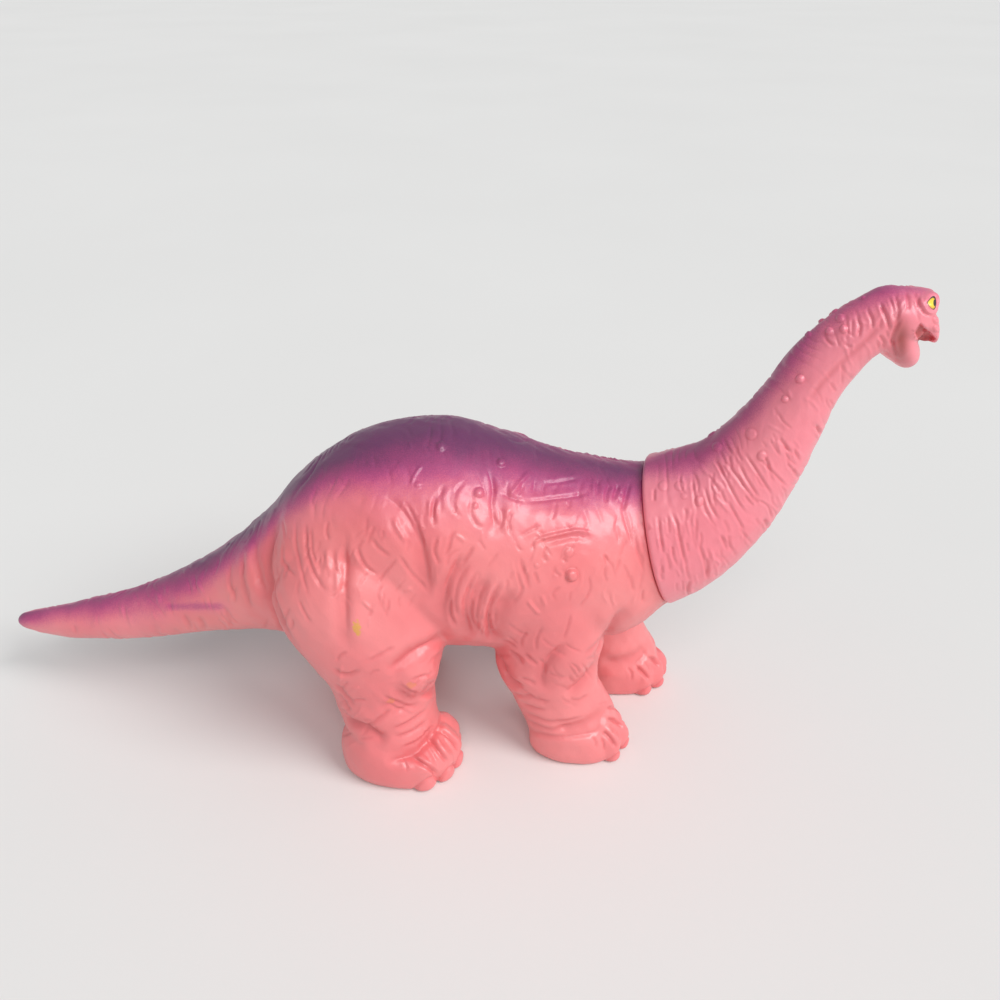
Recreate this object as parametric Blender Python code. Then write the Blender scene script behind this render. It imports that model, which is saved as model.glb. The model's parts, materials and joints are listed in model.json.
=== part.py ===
"""A long-necked toy dinosaur in soft vinyl, standing in mid step.

It comes apart into two hollow mouldings. One is the body with its tail and four legs, the other is
the neck with its head. A grooved plug on the neck snaps through a lipped hole in the front of the
body, so the neck turns there. Metres, +X towards the head, +Y to the dinosaur's left, +Z up.
"""

import bmesh
import bpy
import numpy as np
from mathutils import Vector

# Trunk: from the middle of the neck seam back to the rump.
TRUNK_LENGTH = 0.124
TRUNK_HEIGHT = 0.0743
TRUNK_DEPTH = 0.0746
TRUNK_WIDTH = 0.0680

# Tail: from the rump to its tip, which swings to the left.
TAIL_LENGTH = 0.100
TAIL_THICKNESS = 0.0354
TAIL_SWAY = 0.020
TAIL_PITCH_DEG = 22.0
TAIL_TURN_DEG = 10.0

# Neck seam: where the neck meets the body, tilted up and turned a little to the right.
SEAM_HEIGHT = 0.0738
BODY_RIM_RADIUS = 0.0228
NECK_RIM_RADIUS = 0.0240
NECK_RIM_LIFT = 0.0008
SEAM_PITCH_DEG = 15.5
SEAM_TURN_DEG = -12.0

# Neck and head.
NECK_REACH = 0.054
NECK_RISE = 0.0745
NECK_SWAY = 0.010
NECK_THICKNESS = 0.0470
HEAD_LENGTH = 0.0155
HEAD_DEPTH = 0.0190
HEAD_WIDTH = 0.0176
BROW_RADIUS = 0.0027
EYE_RADIUS = 0.0023

# Hind legs.
HIP_BACK = 0.0935
HIP_HEIGHT = 0.0880
HIND_STANCE = 0.0235
THIGH_LENGTH = 0.0520
THIGH_WIDTH = 0.0340
HIND_STEP = 0.0100
HIND_FOOT_AHEAD = 0.0101
HIND_FOOT_STANCE = 0.0237
HIND_FOOT_LENGTH = 0.0398
HIND_FOOT_WIDTH = 0.0334
HIND_FOOT_HEIGHT = 0.0205
HIND_FOOT_TURN_DEG = 9.0
KNEE_RADIUS = 0.0095

# Fore legs.
SHOULDER_BACK = 0.0355
SHOULDER_HEIGHT = 0.0860
FORE_STANCE = 0.0172
UPPER_ARM_LENGTH = 0.0376
UPPER_ARM_WIDTH = 0.0280
FORE_STEP = 0.0180
FORE_FOOT_AHEAD = 0.0109
FORE_FOOT_LENGTH = 0.0340
FORE_FOOT_WIDTH = 0.0240
FORE_FOOT_HEIGHT = 0.0175
FORE_FOOT_TURN_DEG = 4.0
ELBOW_RADIUS = 0.0056

# Moulded folds and muscles of the flanks, and how far behind the seam they begin.
FOLD_DEPTH = 0.0016
FOLD_WIDTH = 0.0022
MUSCLE_RISE = 0.0012
MUSCLE_RADIUS = 0.0100
RELIEF_START = 0.0100

# Walls, the snap-in plug and the gaps between the two mouldings.
WALL = 0.0022
FRONT_WALL = 0.0025
SEAM_GAP = 0.0003
SOCKET_RADIUS = 0.0145
PLUG_CLEARANCE = 0.0003
PLUG_LIP = 0.0018
PLUG_LIP_LENGTH = 0.0030
PLUG_WALL = 0.0025

# Fineness of the moulded skins, and how far a cutter runs past what it cuts.
BODY_GRAIN = 0.0014
NECK_GRAIN = 0.0009
HOLLOW_GRAIN = 0.0022
OVERRUN = 0.0060
CUT_SIZE = 0.400

# Along the trunk from the seam: place, height of the middle, depth, width.
TRUNK_SHARES = (
    (0.065, 0.936, 0.725, 0.735),
    (0.160, 0.913, 0.803, 0.824),
    (0.300, 0.929, 0.885, 0.926),
    (0.403, 0.962, 0.952, 0.970),
    (0.548, 1.000, 1.000, 1.000),
    (0.710, 0.984, 0.958, 0.956),
    (0.823, 0.945, 0.850, 0.860),
    (0.919, 0.885, 0.712, 0.740),
)

# Along the tail from the rump: place, height as a share of the trunk's, thickness, sway.
TAIL_SHARES = (
    (0.01, 0.802, 1.120, 0.02),
    (0.14, 0.700, 0.840, 0.10),
    (0.30, 0.596, 0.640, 0.24),
    (0.47, 0.495, 0.520, 0.41),
    (0.66, 0.416, 0.430, 0.61),
    (0.83, 0.357, 0.316, 0.80),
    (0.96, 0.331, 0.186, 0.95),
    (1.00, 0.318, 0.045, 1.00),
)

# Along the neck from the seam: reach, sway, rise, depth, width; the pitch and turn follow in degrees.
NECK_SHARES = (
    (0.187, 0.20, 0.091, 0.957, 0.920),
    (0.331, 0.40, 0.188, 0.842, 0.787),
    (0.467, 0.50, 0.323, 0.732, 0.660),
    (0.561, 0.60, 0.460, 0.625, 0.562),
    (0.641, 0.70, 0.609, 0.506, 0.468),
    (0.722, 0.80, 0.774, 0.425, 0.400),
    (0.824, 0.90, 0.887, 0.383, 0.374),
    (0.898, 0.95, 0.944, 0.392, 0.366),
)
NECK_PITCHES_DEG = (18.0, 23.0, 29.0, 34.0, 42.0, 46.0, 37.0, 14.0)
NECK_TURNS_DEG = (-11.0, -10.0, -8.0, -6.0, -4.0, -3.0, 0.0, 0.0)

# Along the head from the end of the neck: reach, rise, depth, width, all as shares of the head's own.
HEAD_SHARES = (
    (0.00, 0.000, 0.960, 1.000),
    (0.32, 0.030, 0.870, 0.990),
    (0.55, 0.065, 0.770, 0.940),
    (0.70, 0.095, 0.660, 0.800),
    (0.745, 0.115, 0.560, 0.640),
    (0.77, 0.135, 0.340, 0.400),
)
HEAD_PITCHES_DEG = (0.0, -2.0, -4.0, -12.0, -22.0, -28.0)

# Down the lower jaw, the hooked muzzle and the palate between them: reach, rise, thickness, width.
JAW_SHARES = (
    (0.14, -0.17, 0.62, 1.02),
    (0.34, -0.34, 0.54, 0.92),
    (0.52, -0.50, 0.43, 0.72),
    (0.62, -0.61, 0.31, 0.52),
    (0.67, -0.67, 0.15, 0.28),
)
JAW_PITCH_DEG = -50.0
MUZZLE_SHARES = (
    (0.60, 0.12, 0.42, 0.86),
    (0.78, -0.04, 0.31, 0.78),
    (0.89, -0.18, 0.21, 0.64),
    (0.95, -0.29, 0.11, 0.44),
)
MUZZLE_PITCH_DEG = -60.0
PALATE_SHARES = ((0.60, -0.06, 0.30, 0.46), (0.74, -0.18, 0.24, 0.40), (0.86, -0.28, 0.15, 0.26))
PALATE_PITCH_DEG = -52.0

# Down a leg: fore-and-aft place, stance, height, fore-and-aft size, width, share of the step.
HIND_LEG_SHARES = (
    (0.106, 0.64, 1.000, 0.46, 0.47, 0.00),
    (0.029, 0.85, 0.886, 0.81, 0.82, 0.05),
    (0.000, 0.94, 0.750, 1.00, 1.00, 0.20),
    (0.040, 0.98, 0.614, 0.95, 1.00, 0.40),
    (0.085, 1.00, 0.497, 0.80, 0.93, 0.60),
    (0.115, 1.00, 0.381, 0.65, 0.85, 0.80),
    (0.133, 1.00, 0.261, 0.60, 0.82, 0.90),
    (0.173, 1.00, 0.164, 0.57, 0.86, 1.00),
    (0.180, 1.00, 0.060, 0.55, 0.88, 1.00),
)
FORE_LEG_SHARES = (
    (0.146, 0.60, 1.000, 0.48, 0.57, 0.00),
    (0.066, 0.85, 0.884, 0.85, 0.93, 0.08),
    (0.000, 0.99, 0.756, 1.00, 1.00, 0.25),
    (0.000, 1.02, 0.628, 0.98, 0.96, 0.45),
    (0.026, 1.02, 0.507, 0.92, 0.89, 0.78),
    (0.012, 1.00, 0.413, 0.88, 0.82, 0.90),
    (0.045, 0.99, 0.337, 0.83, 0.77, 0.98),
    (0.115, 0.97, 0.267, 0.82, 0.75, 1.00),
    (0.215, 0.96, 0.169, 0.84, 0.78, 1.00),
    (0.253, 0.96, 0.080, 0.76, 0.78, 1.00),
)

# From heel to toe: place, height of the middle, height, width. Then each toe, from the outer one in.
FOOT_SHARES = (
    (0.05, 0.37, 0.62, 0.42),
    (0.14, 0.40, 0.92, 0.72),
    (0.32, 0.42, 1.15, 0.95),
    (0.54, 0.38, 1.10, 1.00),
    (0.70, 0.31, 0.86, 0.94),
    (0.80, 0.24, 0.56, 0.76),
)
FOOT_SQUARENESS = 2.9
MIDFOOT_SHARE = 0.5
TOE_BEARINGS_DEG = (52.0, 26.0, 0.0, -32.0)
TOE_SHARES = (
    (0.40, 0.50, 0.60, 0.26),
    (0.62, 0.46, 0.64, 0.29),
    (0.78, 0.33, 0.56, 0.30),
    (0.87, 0.18, 0.40, 0.27),
    (0.92, 0.00, 0.22, 0.18),
)
TOE_PITCHES_DEG = (-10.0, -25.0, -45.0, -65.0, -80.0)

# Middle of the knee or elbow on its leg: fore-and-aft place, stance, height, share of the step.
KNEE_SHARES = (0.29, 1.24, 0.49, 0.60)
ELBOW_SHARES = (-0.25, 1.05, 0.40, 0.90)

# Middles of the brow and eye bulges on the head: reach, side, rise. Then how bulges are stretched.
BROW_SHARES = (0.50, 0.25, 0.29)
EYE_SHARES = (0.57, 0.29, 0.26)
BULGE_STRETCH_SHARES = (1.0, 1.0, 1.2)
BROW_STRETCH_SHARES = (1.3, 1.0, 0.8)

# Each fold of a flank: its depth and width, then where it runs, back from the seam as a share of the
# trunk's length and up as a share of its height.
FOLD_SHARES = (
    (1.0, 1.4, ((0.93, 1.20), (0.98, 1.06), (0.98, 0.92), (0.93, 0.80))),
    (0.5, 1.0, ((0.77, 1.20), (0.76, 1.05), (0.77, 0.88), (0.76, 0.76))),
    (0.7, 1.3, ((0.69, 1.36), (0.61, 1.28), (0.58, 1.12), (0.58, 0.92))),
    (0.7, 1.1, ((0.48, 1.16), (0.53, 1.00), (0.54, 0.84))),
    (0.8, 1.1, ((0.43, 1.08), (0.48, 0.90), (0.48, 0.72))),
    (0.9, 1.2, ((0.38, 1.02), (0.42, 0.84), (0.42, 0.66))),
    (0.5, 1.0, ((0.43, 1.40), (0.41, 1.30), (0.42, 1.19))),
    (0.6, 1.2, ((0.36, 1.32), (0.27, 1.31), (0.18, 1.29))),
    (0.7, 1.1, ((0.10, 0.86), (0.13, 0.66), (0.17, 0.52))),
    (0.6, 1.1, ((0.23, 0.72), (0.29, 0.60), (0.30, 0.42))),
    (0.6, 1.1, ((0.15, 0.56), (0.19, 0.46), (0.24, 0.39))),
    (0.6, 1.0, ((0.41, 0.56), (0.38, 0.45), (0.34, 0.43))),
    (0.8, 1.0, ((0.53, 0.72), (0.61, 0.72), (0.68, 0.65))),
    (0.8, 1.1, ((0.67, 0.57), (0.61, 0.48), (0.54, 0.55))),
    (0.5, 1.0, ((0.70, 0.50), (0.63, 0.42), (0.59, 0.42))),
    (0.9, 1.2, ((0.82, 0.34), (0.74, 0.32), (0.69, 0.25))),
    (0.9, 1.2, ((0.70, 0.17), (0.61, 0.20), (0.55, 0.25))),
    (0.8, 1.1, ((0.27, 0.21), (0.19, 0.22), (0.11, 0.26))),
)

# Each muscle, and below 0 each hollow: its rise and radius, then its place, measured the same way.
MUSCLE_SHARES = (
    (1.0, 0.9, 0.67, 1.24),
    (0.8, 1.2, 0.83, 1.08),
    (0.9, 1.2, 0.26, 1.12),
    (0.6, 0.9, 0.30, 0.92),
    (-0.8, 0.7, 0.48, 1.06),
    (-0.7, 0.6, 0.56, 1.00),
    (-0.5, 0.7, 0.16, 0.90),
    (0.5, 0.6, 0.50, 1.32),
    (0.5, 0.8, 0.30, 1.40),
    (-0.6, 0.7, 0.64, 0.82),
    (0.6, 0.5, 0.22, 0.58),
)

# A fold's lip against its depth, and how far sideways the skin faces where the relief fades in.
LIP_SHARE = 0.25
FLANK_FADE_SHARES = (0.15, 0.50)

RING_POINTS = 28
STEPS_BETWEEN = 5
TURNED_SIDES = 72
BODY_KEEP_SHARE = 0.105
NECK_KEEP_SHARE = 0.085
HOLLOW_KEEP_SHARE = 0.08


def direction(pitch_deg, turn_deg):
    """The unit vectors along, to the left of and above a path with this pitch and turn."""
    pitch = np.radians(pitch_deg)
    turn = np.radians(turn_deg)
    along = np.array((np.cos(pitch) * np.cos(turn), np.cos(pitch) * np.sin(turn), np.sin(pitch)))
    left = np.array((-np.sin(turn), np.cos(turn), 0))
    return along, left, np.cross(along, left)


SEAM_CENTRE = np.array((0, 0, SEAM_HEIGHT))
SEAM_AXIS, SEAM_LEFT, SEAM_UP = direction(SEAM_PITCH_DEG, SEAM_TURN_DEG)


def station(centre, depth, width, pitch_deg, turn_deg=0):
    """One cross-section of a limb: its middle, its half sizes, and the way the limb runs there."""
    return (*centre, depth / 2, width / 2, pitch_deg, turn_deg)


def smooth_stations(stations):
    """Catmull-Rom curve through the stations, STEPS_BETWEEN rings to each stretch."""
    rows = np.array(stations, float)
    ends = np.vstack((2 * rows[:1] - rows[1:2], rows, 2 * rows[-1:] - rows[-2:-1]))
    t = np.arange(STEPS_BETWEEN)[:, None, None] / STEPS_BETWEEN
    a, b, c, d = ends[:-3], ends[1:-2], ends[2:-1], ends[3:]
    curve = 0.5 * (2 * b + (c - a) * t + (2 * a - 5 * b + 4 * c - d) * t**2
                   + (3 * b - a - 3 * c + d) * t**3)
    curve = curve.transpose(1, 0, 2).reshape(-1, rows.shape[1])
    return np.vstack((curve, rows[-1:]))


def loft(stations, thinner=0, squareness=2):
    """Closed skin through rounded sections; thinner takes a wall's thickness off every side.

    A squareness of 2 gives ellipses, and more gives flatter sides with rounder corners.
    """
    rows = smooth_stations(stations)
    if thinner:
        rows = rows[np.minimum(rows[:, 3], rows[:, 4]) > 2 * thinner]
    pitch, turn = np.radians(rows[:, 5]), np.radians(rows[:, 6])
    left = np.stack((-np.sin(turn), np.cos(turn), 0 * turn), 1)
    above = np.stack((-np.sin(pitch) * np.cos(turn), -np.sin(pitch) * np.sin(turn), np.cos(pitch)), 1)
    angle = 2 * np.pi * np.arange(RING_POINTS) / RING_POINTS
    rise = np.sign(np.sin(angle)) * np.abs(np.sin(angle)) ** (2 / squareness)
    side = np.sign(np.cos(angle)) * np.abs(np.cos(angle)) ** (2 / squareness)
    ring = (rows[:, None, :3]
            + (rows[:, None, 3:4] - thinner) * rise[None, :, None] * above[:, None]
            + (rows[:, None, 4:5] - thinner) * side[None, :, None] * left[:, None])
    points = np.vstack((ring.reshape(-1, 3), rows[:1, :3], rows[-1:, :3]))
    first = np.arange(len(rows) - 1)[:, None] * RING_POINTS
    here = np.arange(RING_POINTS)
    after = (here + 1) % RING_POINTS
    quads = np.stack((first + here, first + after, first + RING_POINTS + after,
                      first + RING_POINTS + here), 2).reshape(-1, 4)
    low, high = len(points) - 2, len(points) - 1
    last = (len(rows) - 1) * RING_POINTS
    fans = [(low, int(j), int(i)) for i, j in zip(here, after)]
    fans += [(high, int(last + i), int(last + j)) for i, j in zip(here, after)]
    return points, [tuple(map(int, q)) for q in quads] + fans


def ball(centre, radius, stretch=(1, 1, 1)):
    """Closed ellipsoid, made as a loft along X."""
    angles = np.radians((-84.0, -60.0, -30.0, 0.0, 30.0, 60.0, 84.0))
    rows = [station(np.array(centre) + np.array((radius * np.sin(a) * stretch[0], 0, 0)),
                    2 * radius * np.cos(a) * stretch[2], 2 * radius * np.cos(a) * stretch[1], 0)
            for a in angles]
    return loft(rows)


def placed(name, work):
    """Puts a finished bmesh into a new object of the scene."""
    mesh = bpy.data.meshes.new(name)
    work.to_mesh(mesh)
    work.free()
    obj = bpy.data.objects.new(name, mesh)
    bpy.context.scene.collection.objects.link(obj)
    return obj


def smooth_step(value, low, high):
    """0 below low, 1 above high, and 3t^2 - 2t^3 between."""
    t = np.clip((value - low) / (high - low), 0, 1)
    return t * t * (3 - 2 * t)


def bell(value, width):
    """exp(-(value / width)^2)"""
    return np.exp(-(value / width) ** 2)


def steps_undone(points):
    """How far back from the seam each point lies, with the left legs' steps taken out."""
    x, y, z = points.T
    hind, fore = (np.interp(z / height, shares[::-1, 2], shares[::-1, 5])
                  for height, shares in ((HIP_HEIGHT, np.array(HIND_LEG_SHARES)),
                                         (SHOULDER_HEIGHT, np.array(FORE_LEG_SHARES))))
    ahead = smooth_step(x, -2 * SHOULDER_BACK, -SHOULDER_BACK)
    step = ahead * fore * FORE_STEP - (1 - ahead) * hind * HIND_STEP
    return np.where(y > 0, step, 0) - x


def relief(points, normals):
    """How far the folds and muscles lift each point of the body off its smooth form.

    Seen from the side, a fold is minus its depth times a bell across it, with a low lip either side,
    and it tapers off along it. A muscle is a wide bell. Both fade where the skin turns up or down.
    """
    back, up = steps_undone(points), points[:, 2]
    height = np.zeros(len(points))
    for depth, width, drawn in FOLD_SHARES:
        line = smooth_stations(np.array(drawn) * (TRUNK_LENGTH, TRUNK_HEIGHT))
        run = line[1:] - line[:-1]
        reach = np.stack((back, up), 1)[:, None] - line[:-1]
        t = np.clip((reach * run).sum(2) / (run**2).sum(1), 0, 1)
        distance = np.linalg.norm(reach - t[..., None] * run, axis=2)
        nearest = distance.argmin(1)
        along = (nearest + t[np.arange(len(t)), nearest]) / len(run)
        distance = distance.min(1) / (width * FOLD_WIDTH)
        taper = smooth_step(np.minimum(along, 1 - along), -LIP_SHARE / 2, LIP_SHARE)
        height += depth * FOLD_DEPTH * taper * (LIP_SHARE * bell(distance - 2, 1) - bell(distance, 1))
    for rise, radius, place, level in MUSCLE_SHARES:
        distance = np.hypot(back - place * TRUNK_LENGTH, up - level * TRUNK_HEIGHT)
        height += rise * MUSCLE_RISE * bell(distance, radius * MUSCLE_RADIUS)
    sideways = smooth_step(np.abs(normals[:, 1]), *FLANK_FADE_SHARES)
    return height * sideways * smooth_step(back, 0, RELIEF_START)


def carved(obj):
    """The object with its modifiers made final, and the relief moulded into its skin."""
    bpy.context.view_layer.update()
    name, graph = obj.name, bpy.context.evaluated_depsgraph_get()
    mesh = bpy.data.meshes.new_from_object(obj.evaluated_get(graph))
    bpy.data.objects.remove(obj, do_unlink=True)
    points = np.empty(3 * len(mesh.vertices), np.float32)
    normals = np.empty_like(points)
    mesh.vertices.foreach_get("co", points)
    mesh.vertices.foreach_get("normal", normals)
    points, normals = points.reshape(-1, 3).astype(float), normals.reshape(-1, 3)
    points += relief(points, normals)[:, None] * normals
    mesh.vertices.foreach_set("co", points.astype(np.float32).ravel())
    mesh.update()
    obj = bpy.data.objects.new(name, mesh)
    bpy.context.scene.collection.objects.link(obj)
    return obj


def skin(name, shells, grain, keep_share, smoothing, with_relief=False):
    """One closed skin over overlapping shells: remeshed, smoothed and thinned to few faces."""
    points, faces = [], []
    for shell_points, shell_faces in shells:
        start = sum(len(p) for p in points)
        points.append(shell_points)
        faces += [tuple(start + i for i in face) for face in shell_faces]
    joined = bpy.data.meshes.new(name + "_shells")
    joined.from_pydata(np.vstack(points).tolist(), [], faces)
    work = bmesh.new()
    work.from_mesh(joined)
    bmesh.ops.recalc_face_normals(work, faces=work.faces)
    obj = placed(name, work)
    remesh = obj.modifiers.new("skin", "REMESH")
    remesh.mode = "VOXEL"
    remesh.voxel_size = grain
    remesh.use_smooth_shade = True
    relax = obj.modifiers.new("relax", "SMOOTH")
    relax.iterations = smoothing
    if with_relief:
        obj = carved(obj)
    thin = obj.modifiers.new("thin", "DECIMATE")
    thin.ratio = keep_share
    return obj


def turned(name, profile):
    """Solid of revolution about the seam's axis, from (radius, place along the axis) pairs."""
    work = bmesh.new()
    ring = [work.verts.new(Vector(SEAM_CENTRE + r * SEAM_UP + along * SEAM_AXIS))
            for r, along in profile]
    edges = [work.edges.new(pair) for pair in zip(ring, ring[1:])]
    bmesh.ops.spin(work, geom=ring + edges, cent=SEAM_CENTRE, axis=SEAM_AXIS, dvec=(0, 0, 0),
                   angle=2 * np.pi, steps=TURNED_SIDES, use_merge=True)
    bmesh.ops.remove_doubles(work, verts=work.verts, dist=SEAM_GAP / TURNED_SIDES)
    bmesh.ops.recalc_face_normals(work, faces=work.faces)
    return placed(name, work)


def slab(name, centre, along, left, above, size):
    """Box whose first corner pair lies on a plane: it runs from the centre along the first axis."""
    work = bmesh.new()
    bmesh.ops.create_cube(work, size=1)
    for vert in work.verts:
        x, y, z = vert.co
        vert.co = Vector(centre + size * ((x + 1 / 2) * along + y * left + z * above))
    bmesh.ops.recalc_face_normals(work, faces=work.faces)
    return placed(name, work)


def cut(obj, tool, operation="DIFFERENCE"):
    """Adds a Boolean of obj with tool, and makes tool a hidden guide."""
    boolean = obj.modifiers.new(tool.name, "BOOLEAN")
    boolean.operation = operation
    boolean.solver = "EXACT"
    boolean.object = tool
    tool.hide_render = True
    tool.display_type = "WIRE"


def material(name, colour, roughness):
    """Plain soft vinyl."""
    made = bpy.data.materials.new(name)
    made.use_nodes = True
    shader = made.node_tree.nodes["Principled BSDF"]
    shader.inputs["Base Color"].default_value = (*colour, 1)
    shader.inputs["Roughness"].default_value = roughness
    shader.inputs["Metallic"].default_value = 0
    return made


def trunk_and_tail():
    """Stations of the trunk from just past the seam to the rump, then down to the tail's tip."""
    rim = 2 * BODY_RIM_RADIUS
    rows = [station(SEAM_CENTRE + OVERRUN * SEAM_AXIS, rim, rim, SEAM_PITCH_DEG, SEAM_TURN_DEG),
            station(SEAM_CENTRE, rim, rim, SEAM_PITCH_DEG, SEAM_TURN_DEG)]
    for place, height, depth, width in TRUNK_SHARES:
        level = max(0, 1 - place / TRUNK_SHARES[1][0])
        rows.append(station((-place * TRUNK_LENGTH, 0, height * TRUNK_HEIGHT), depth * TRUNK_DEPTH,
                            width * TRUNK_WIDTH, level * SEAM_PITCH_DEG, level * SEAM_TURN_DEG))
    for place, height, thickness, sway in TAIL_SHARES:
        centre = (-TRUNK_LENGTH - place * TAIL_LENGTH, sway * TAIL_SWAY, height * TRUNK_HEIGHT)
        rows.append(station(centre, thickness * TAIL_THICKNESS, thickness * TAIL_THICKNESS,
                            TAIL_PITCH_DEG * min(1, 2 * place), -TAIL_TURN_DEG * min(1, 2 * place)))
    return rows


def neck_path():
    """Stations of the neck from just behind the seam to the root of the head."""
    rim = 2 * NECK_RIM_RADIUS
    lifted = SEAM_CENTRE + NECK_RIM_LIFT * SEAM_UP
    rows = [station(lifted - OVERRUN * SEAM_AXIS, rim, rim, SEAM_PITCH_DEG, SEAM_TURN_DEG),
            station(lifted, rim, rim, SEAM_PITCH_DEG, SEAM_TURN_DEG)]
    for shares, pitch, turn in zip(NECK_SHARES, NECK_PITCHES_DEG, NECK_TURNS_DEG):
        reach, sway, rise, depth, width = shares
        centre = (reach * NECK_REACH, -sway * NECK_SWAY, SEAM_HEIGHT + rise * NECK_RISE)
        rows.append(station(centre, depth * NECK_THICKNESS, width * NECK_THICKNESS, pitch, turn))
    return rows


HEAD_ROOT = np.array((NECK_REACH, -NECK_SWAY, SEAM_HEIGHT + NECK_RISE))


def head_path():
    """Stations of the skull, from the end of the neck to the snout."""
    return [station(HEAD_ROOT + (reach * HEAD_LENGTH, 0, rise * HEAD_DEPTH), depth * HEAD_DEPTH,
                    width * HEAD_WIDTH, pitch)
            for (reach, rise, depth, width), pitch in zip(HEAD_SHARES, HEAD_PITCHES_DEG)]


def mouth_path(shares, pitch_deg):
    """Stations of the jaw, the muzzle or the palate, which all run down and forward."""
    return [station(HEAD_ROOT + (reach * HEAD_LENGTH, 0, rise * HEAD_DEPTH), thick * HEAD_DEPTH,
                    wide * HEAD_WIDTH, pitch_deg)
            for reach, rise, thick, wide in shares]


def on_head(shares, side):
    """A point on the head, from shares of its length, its width to one side, and its depth."""
    ahead, out, up = shares
    return HEAD_ROOT + (ahead * HEAD_LENGTH, side * out * HEAD_WIDTH, up * HEAD_DEPTH)


def leg(side, back, height, stance, length, width, step, shares):
    """Stations of one leg from inside the trunk down to the ankle; side is 1 on the left."""
    rows = []
    for ahead, out, up, long_share, wide_share, step_share in shares:
        centre = (-back + ahead * length + step_share * step, side * out * stance, up * height)
        rows.append(station(centre, long_share * length, wide_share * width, -90))
    return rows


def foot(side, middle, stance, length, width, height, turn_deg):
    """Shells of one foot: its pad from heel to toe, and four toes. The turn points the toes out.

    A place on the foot is given ahead of its middle and outwards, before the turn.
    """
    turn = np.radians(turn_deg)

    def on_foot(ahead, out, up):
        return (middle + ahead * np.cos(turn) - out * np.sin(turn),
                side * (stance + out * np.cos(turn) + ahead * np.sin(turn)), up * height)

    pad = [station(on_foot((place - MIDFOOT_SHARE) * length, 0, mid), tall * height, wide * width,
                   0, side * turn_deg)
           for place, mid, tall, wide in FOOT_SHARES]
    shells = [loft(pad, squareness=FOOT_SQUARENESS)]
    for bearing in np.radians(TOE_BEARINGS_DEG):
        ahead, out = length / 2 * np.cos(bearing), width / 2 * np.sin(bearing)
        toe_turn = side * (turn_deg + np.degrees(np.arctan2(out, ahead)))
        rows = [station(on_foot(reach * ahead, reach * out, up), thick * height, wide * width,
                        pitch, toe_turn)
                for (reach, up, thick, wide), pitch in zip(TOE_SHARES, TOE_PITCHES_DEG)]
        shells.append(loft(rows))
    return shells


def joint_bulge(side, back, height, stance, length, step, shares, radius):
    """The knee or the elbow, a rounded bulge on its leg."""
    ahead, out, up, step_share = shares
    centre = (-back + ahead * length + step_share * step, side * out * stance, up * height)
    return ball(centre, radius, BULGE_STRETCH_SHARES)


def leg_sets():
    """For each leg: its stations, its knee or elbow, and the sizes of its foot.

    The left hind foot is a step behind the right one, and the left fore foot a step ahead.
    """
    for side, hind_step, fore_step in ((-1, 0, 0), (1, -HIND_STEP, FORE_STEP)):
        yield (leg(side, HIP_BACK, HIP_HEIGHT, HIND_STANCE, THIGH_LENGTH, THIGH_WIDTH, hind_step,
                   HIND_LEG_SHARES),
               joint_bulge(side, HIP_BACK, HIP_HEIGHT, HIND_STANCE, THIGH_LENGTH, hind_step,
                           KNEE_SHARES, KNEE_RADIUS),
               (side, -HIP_BACK + HIND_FOOT_AHEAD + hind_step, HIND_FOOT_STANCE, HIND_FOOT_LENGTH,
                HIND_FOOT_WIDTH, HIND_FOOT_HEIGHT, HIND_FOOT_TURN_DEG))
        yield (leg(side, SHOULDER_BACK, SHOULDER_HEIGHT, FORE_STANCE, UPPER_ARM_LENGTH,
                   UPPER_ARM_WIDTH, fore_step, FORE_LEG_SHARES),
               joint_bulge(side, SHOULDER_BACK, SHOULDER_HEIGHT, FORE_STANCE, UPPER_ARM_LENGTH,
                           fore_step, ELBOW_SHARES, ELBOW_RADIUS),
               (side, -SHOULDER_BACK + FORE_FOOT_AHEAD + fore_step, FORE_STANCE, FORE_FOOT_LENGTH,
                FORE_FOOT_WIDTH, FORE_FOOT_HEIGHT, FORE_FOOT_TURN_DEG))


def make_body():
    """The body moulding: trunk, tail, legs and feet, hollow, open only at the neck's hole."""
    shells = [loft(trunk_and_tail())]
    hollows = [loft(trunk_and_tail(), WALL)]
    for rows, bulge, foot_sizes in leg_sets():
        shells += [loft(rows), bulge]
        shells += foot(*foot_sizes)
        hollows.append(loft(rows[:-2], WALL))
    body = skin("body_with_legs_and_tail", shells, BODY_GRAIN, BODY_KEEP_SHARE, 3, True)
    hollow = skin("body_hollow", hollows, HOLLOW_GRAIN, HOLLOW_KEEP_SHARE, 3, True)
    front = slab("body_front_cut", SEAM_CENTRE, SEAM_AXIS, SEAM_LEFT, SEAM_UP, CUT_SIZE)
    floor = slab("floor_cut", np.zeros(3), *np.array(((0, 0, -1), (0, 1, 0), (1, 0, 0))), CUT_SIZE)
    back = slab("hollow_front_cut", SEAM_CENTRE - FRONT_WALL * SEAM_AXIS, SEAM_AXIS, SEAM_LEFT,
                SEAM_UP, CUT_SIZE)
    socket = turned("socket_cut", ((0, OVERRUN), (SOCKET_RADIUS, OVERRUN),
                                   (SOCKET_RADIUS, -FRONT_WALL - OVERRUN),
                                   (0, -FRONT_WALL - OVERRUN)))
    cut(hollow, back)
    cut(body, front)
    cut(body, floor)
    cut(body, hollow)
    cut(body, socket)
    body.data.materials.append(material("pink_vinyl_body", (0.83, 0.23, 0.24), 0.42))
    return body


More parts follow.
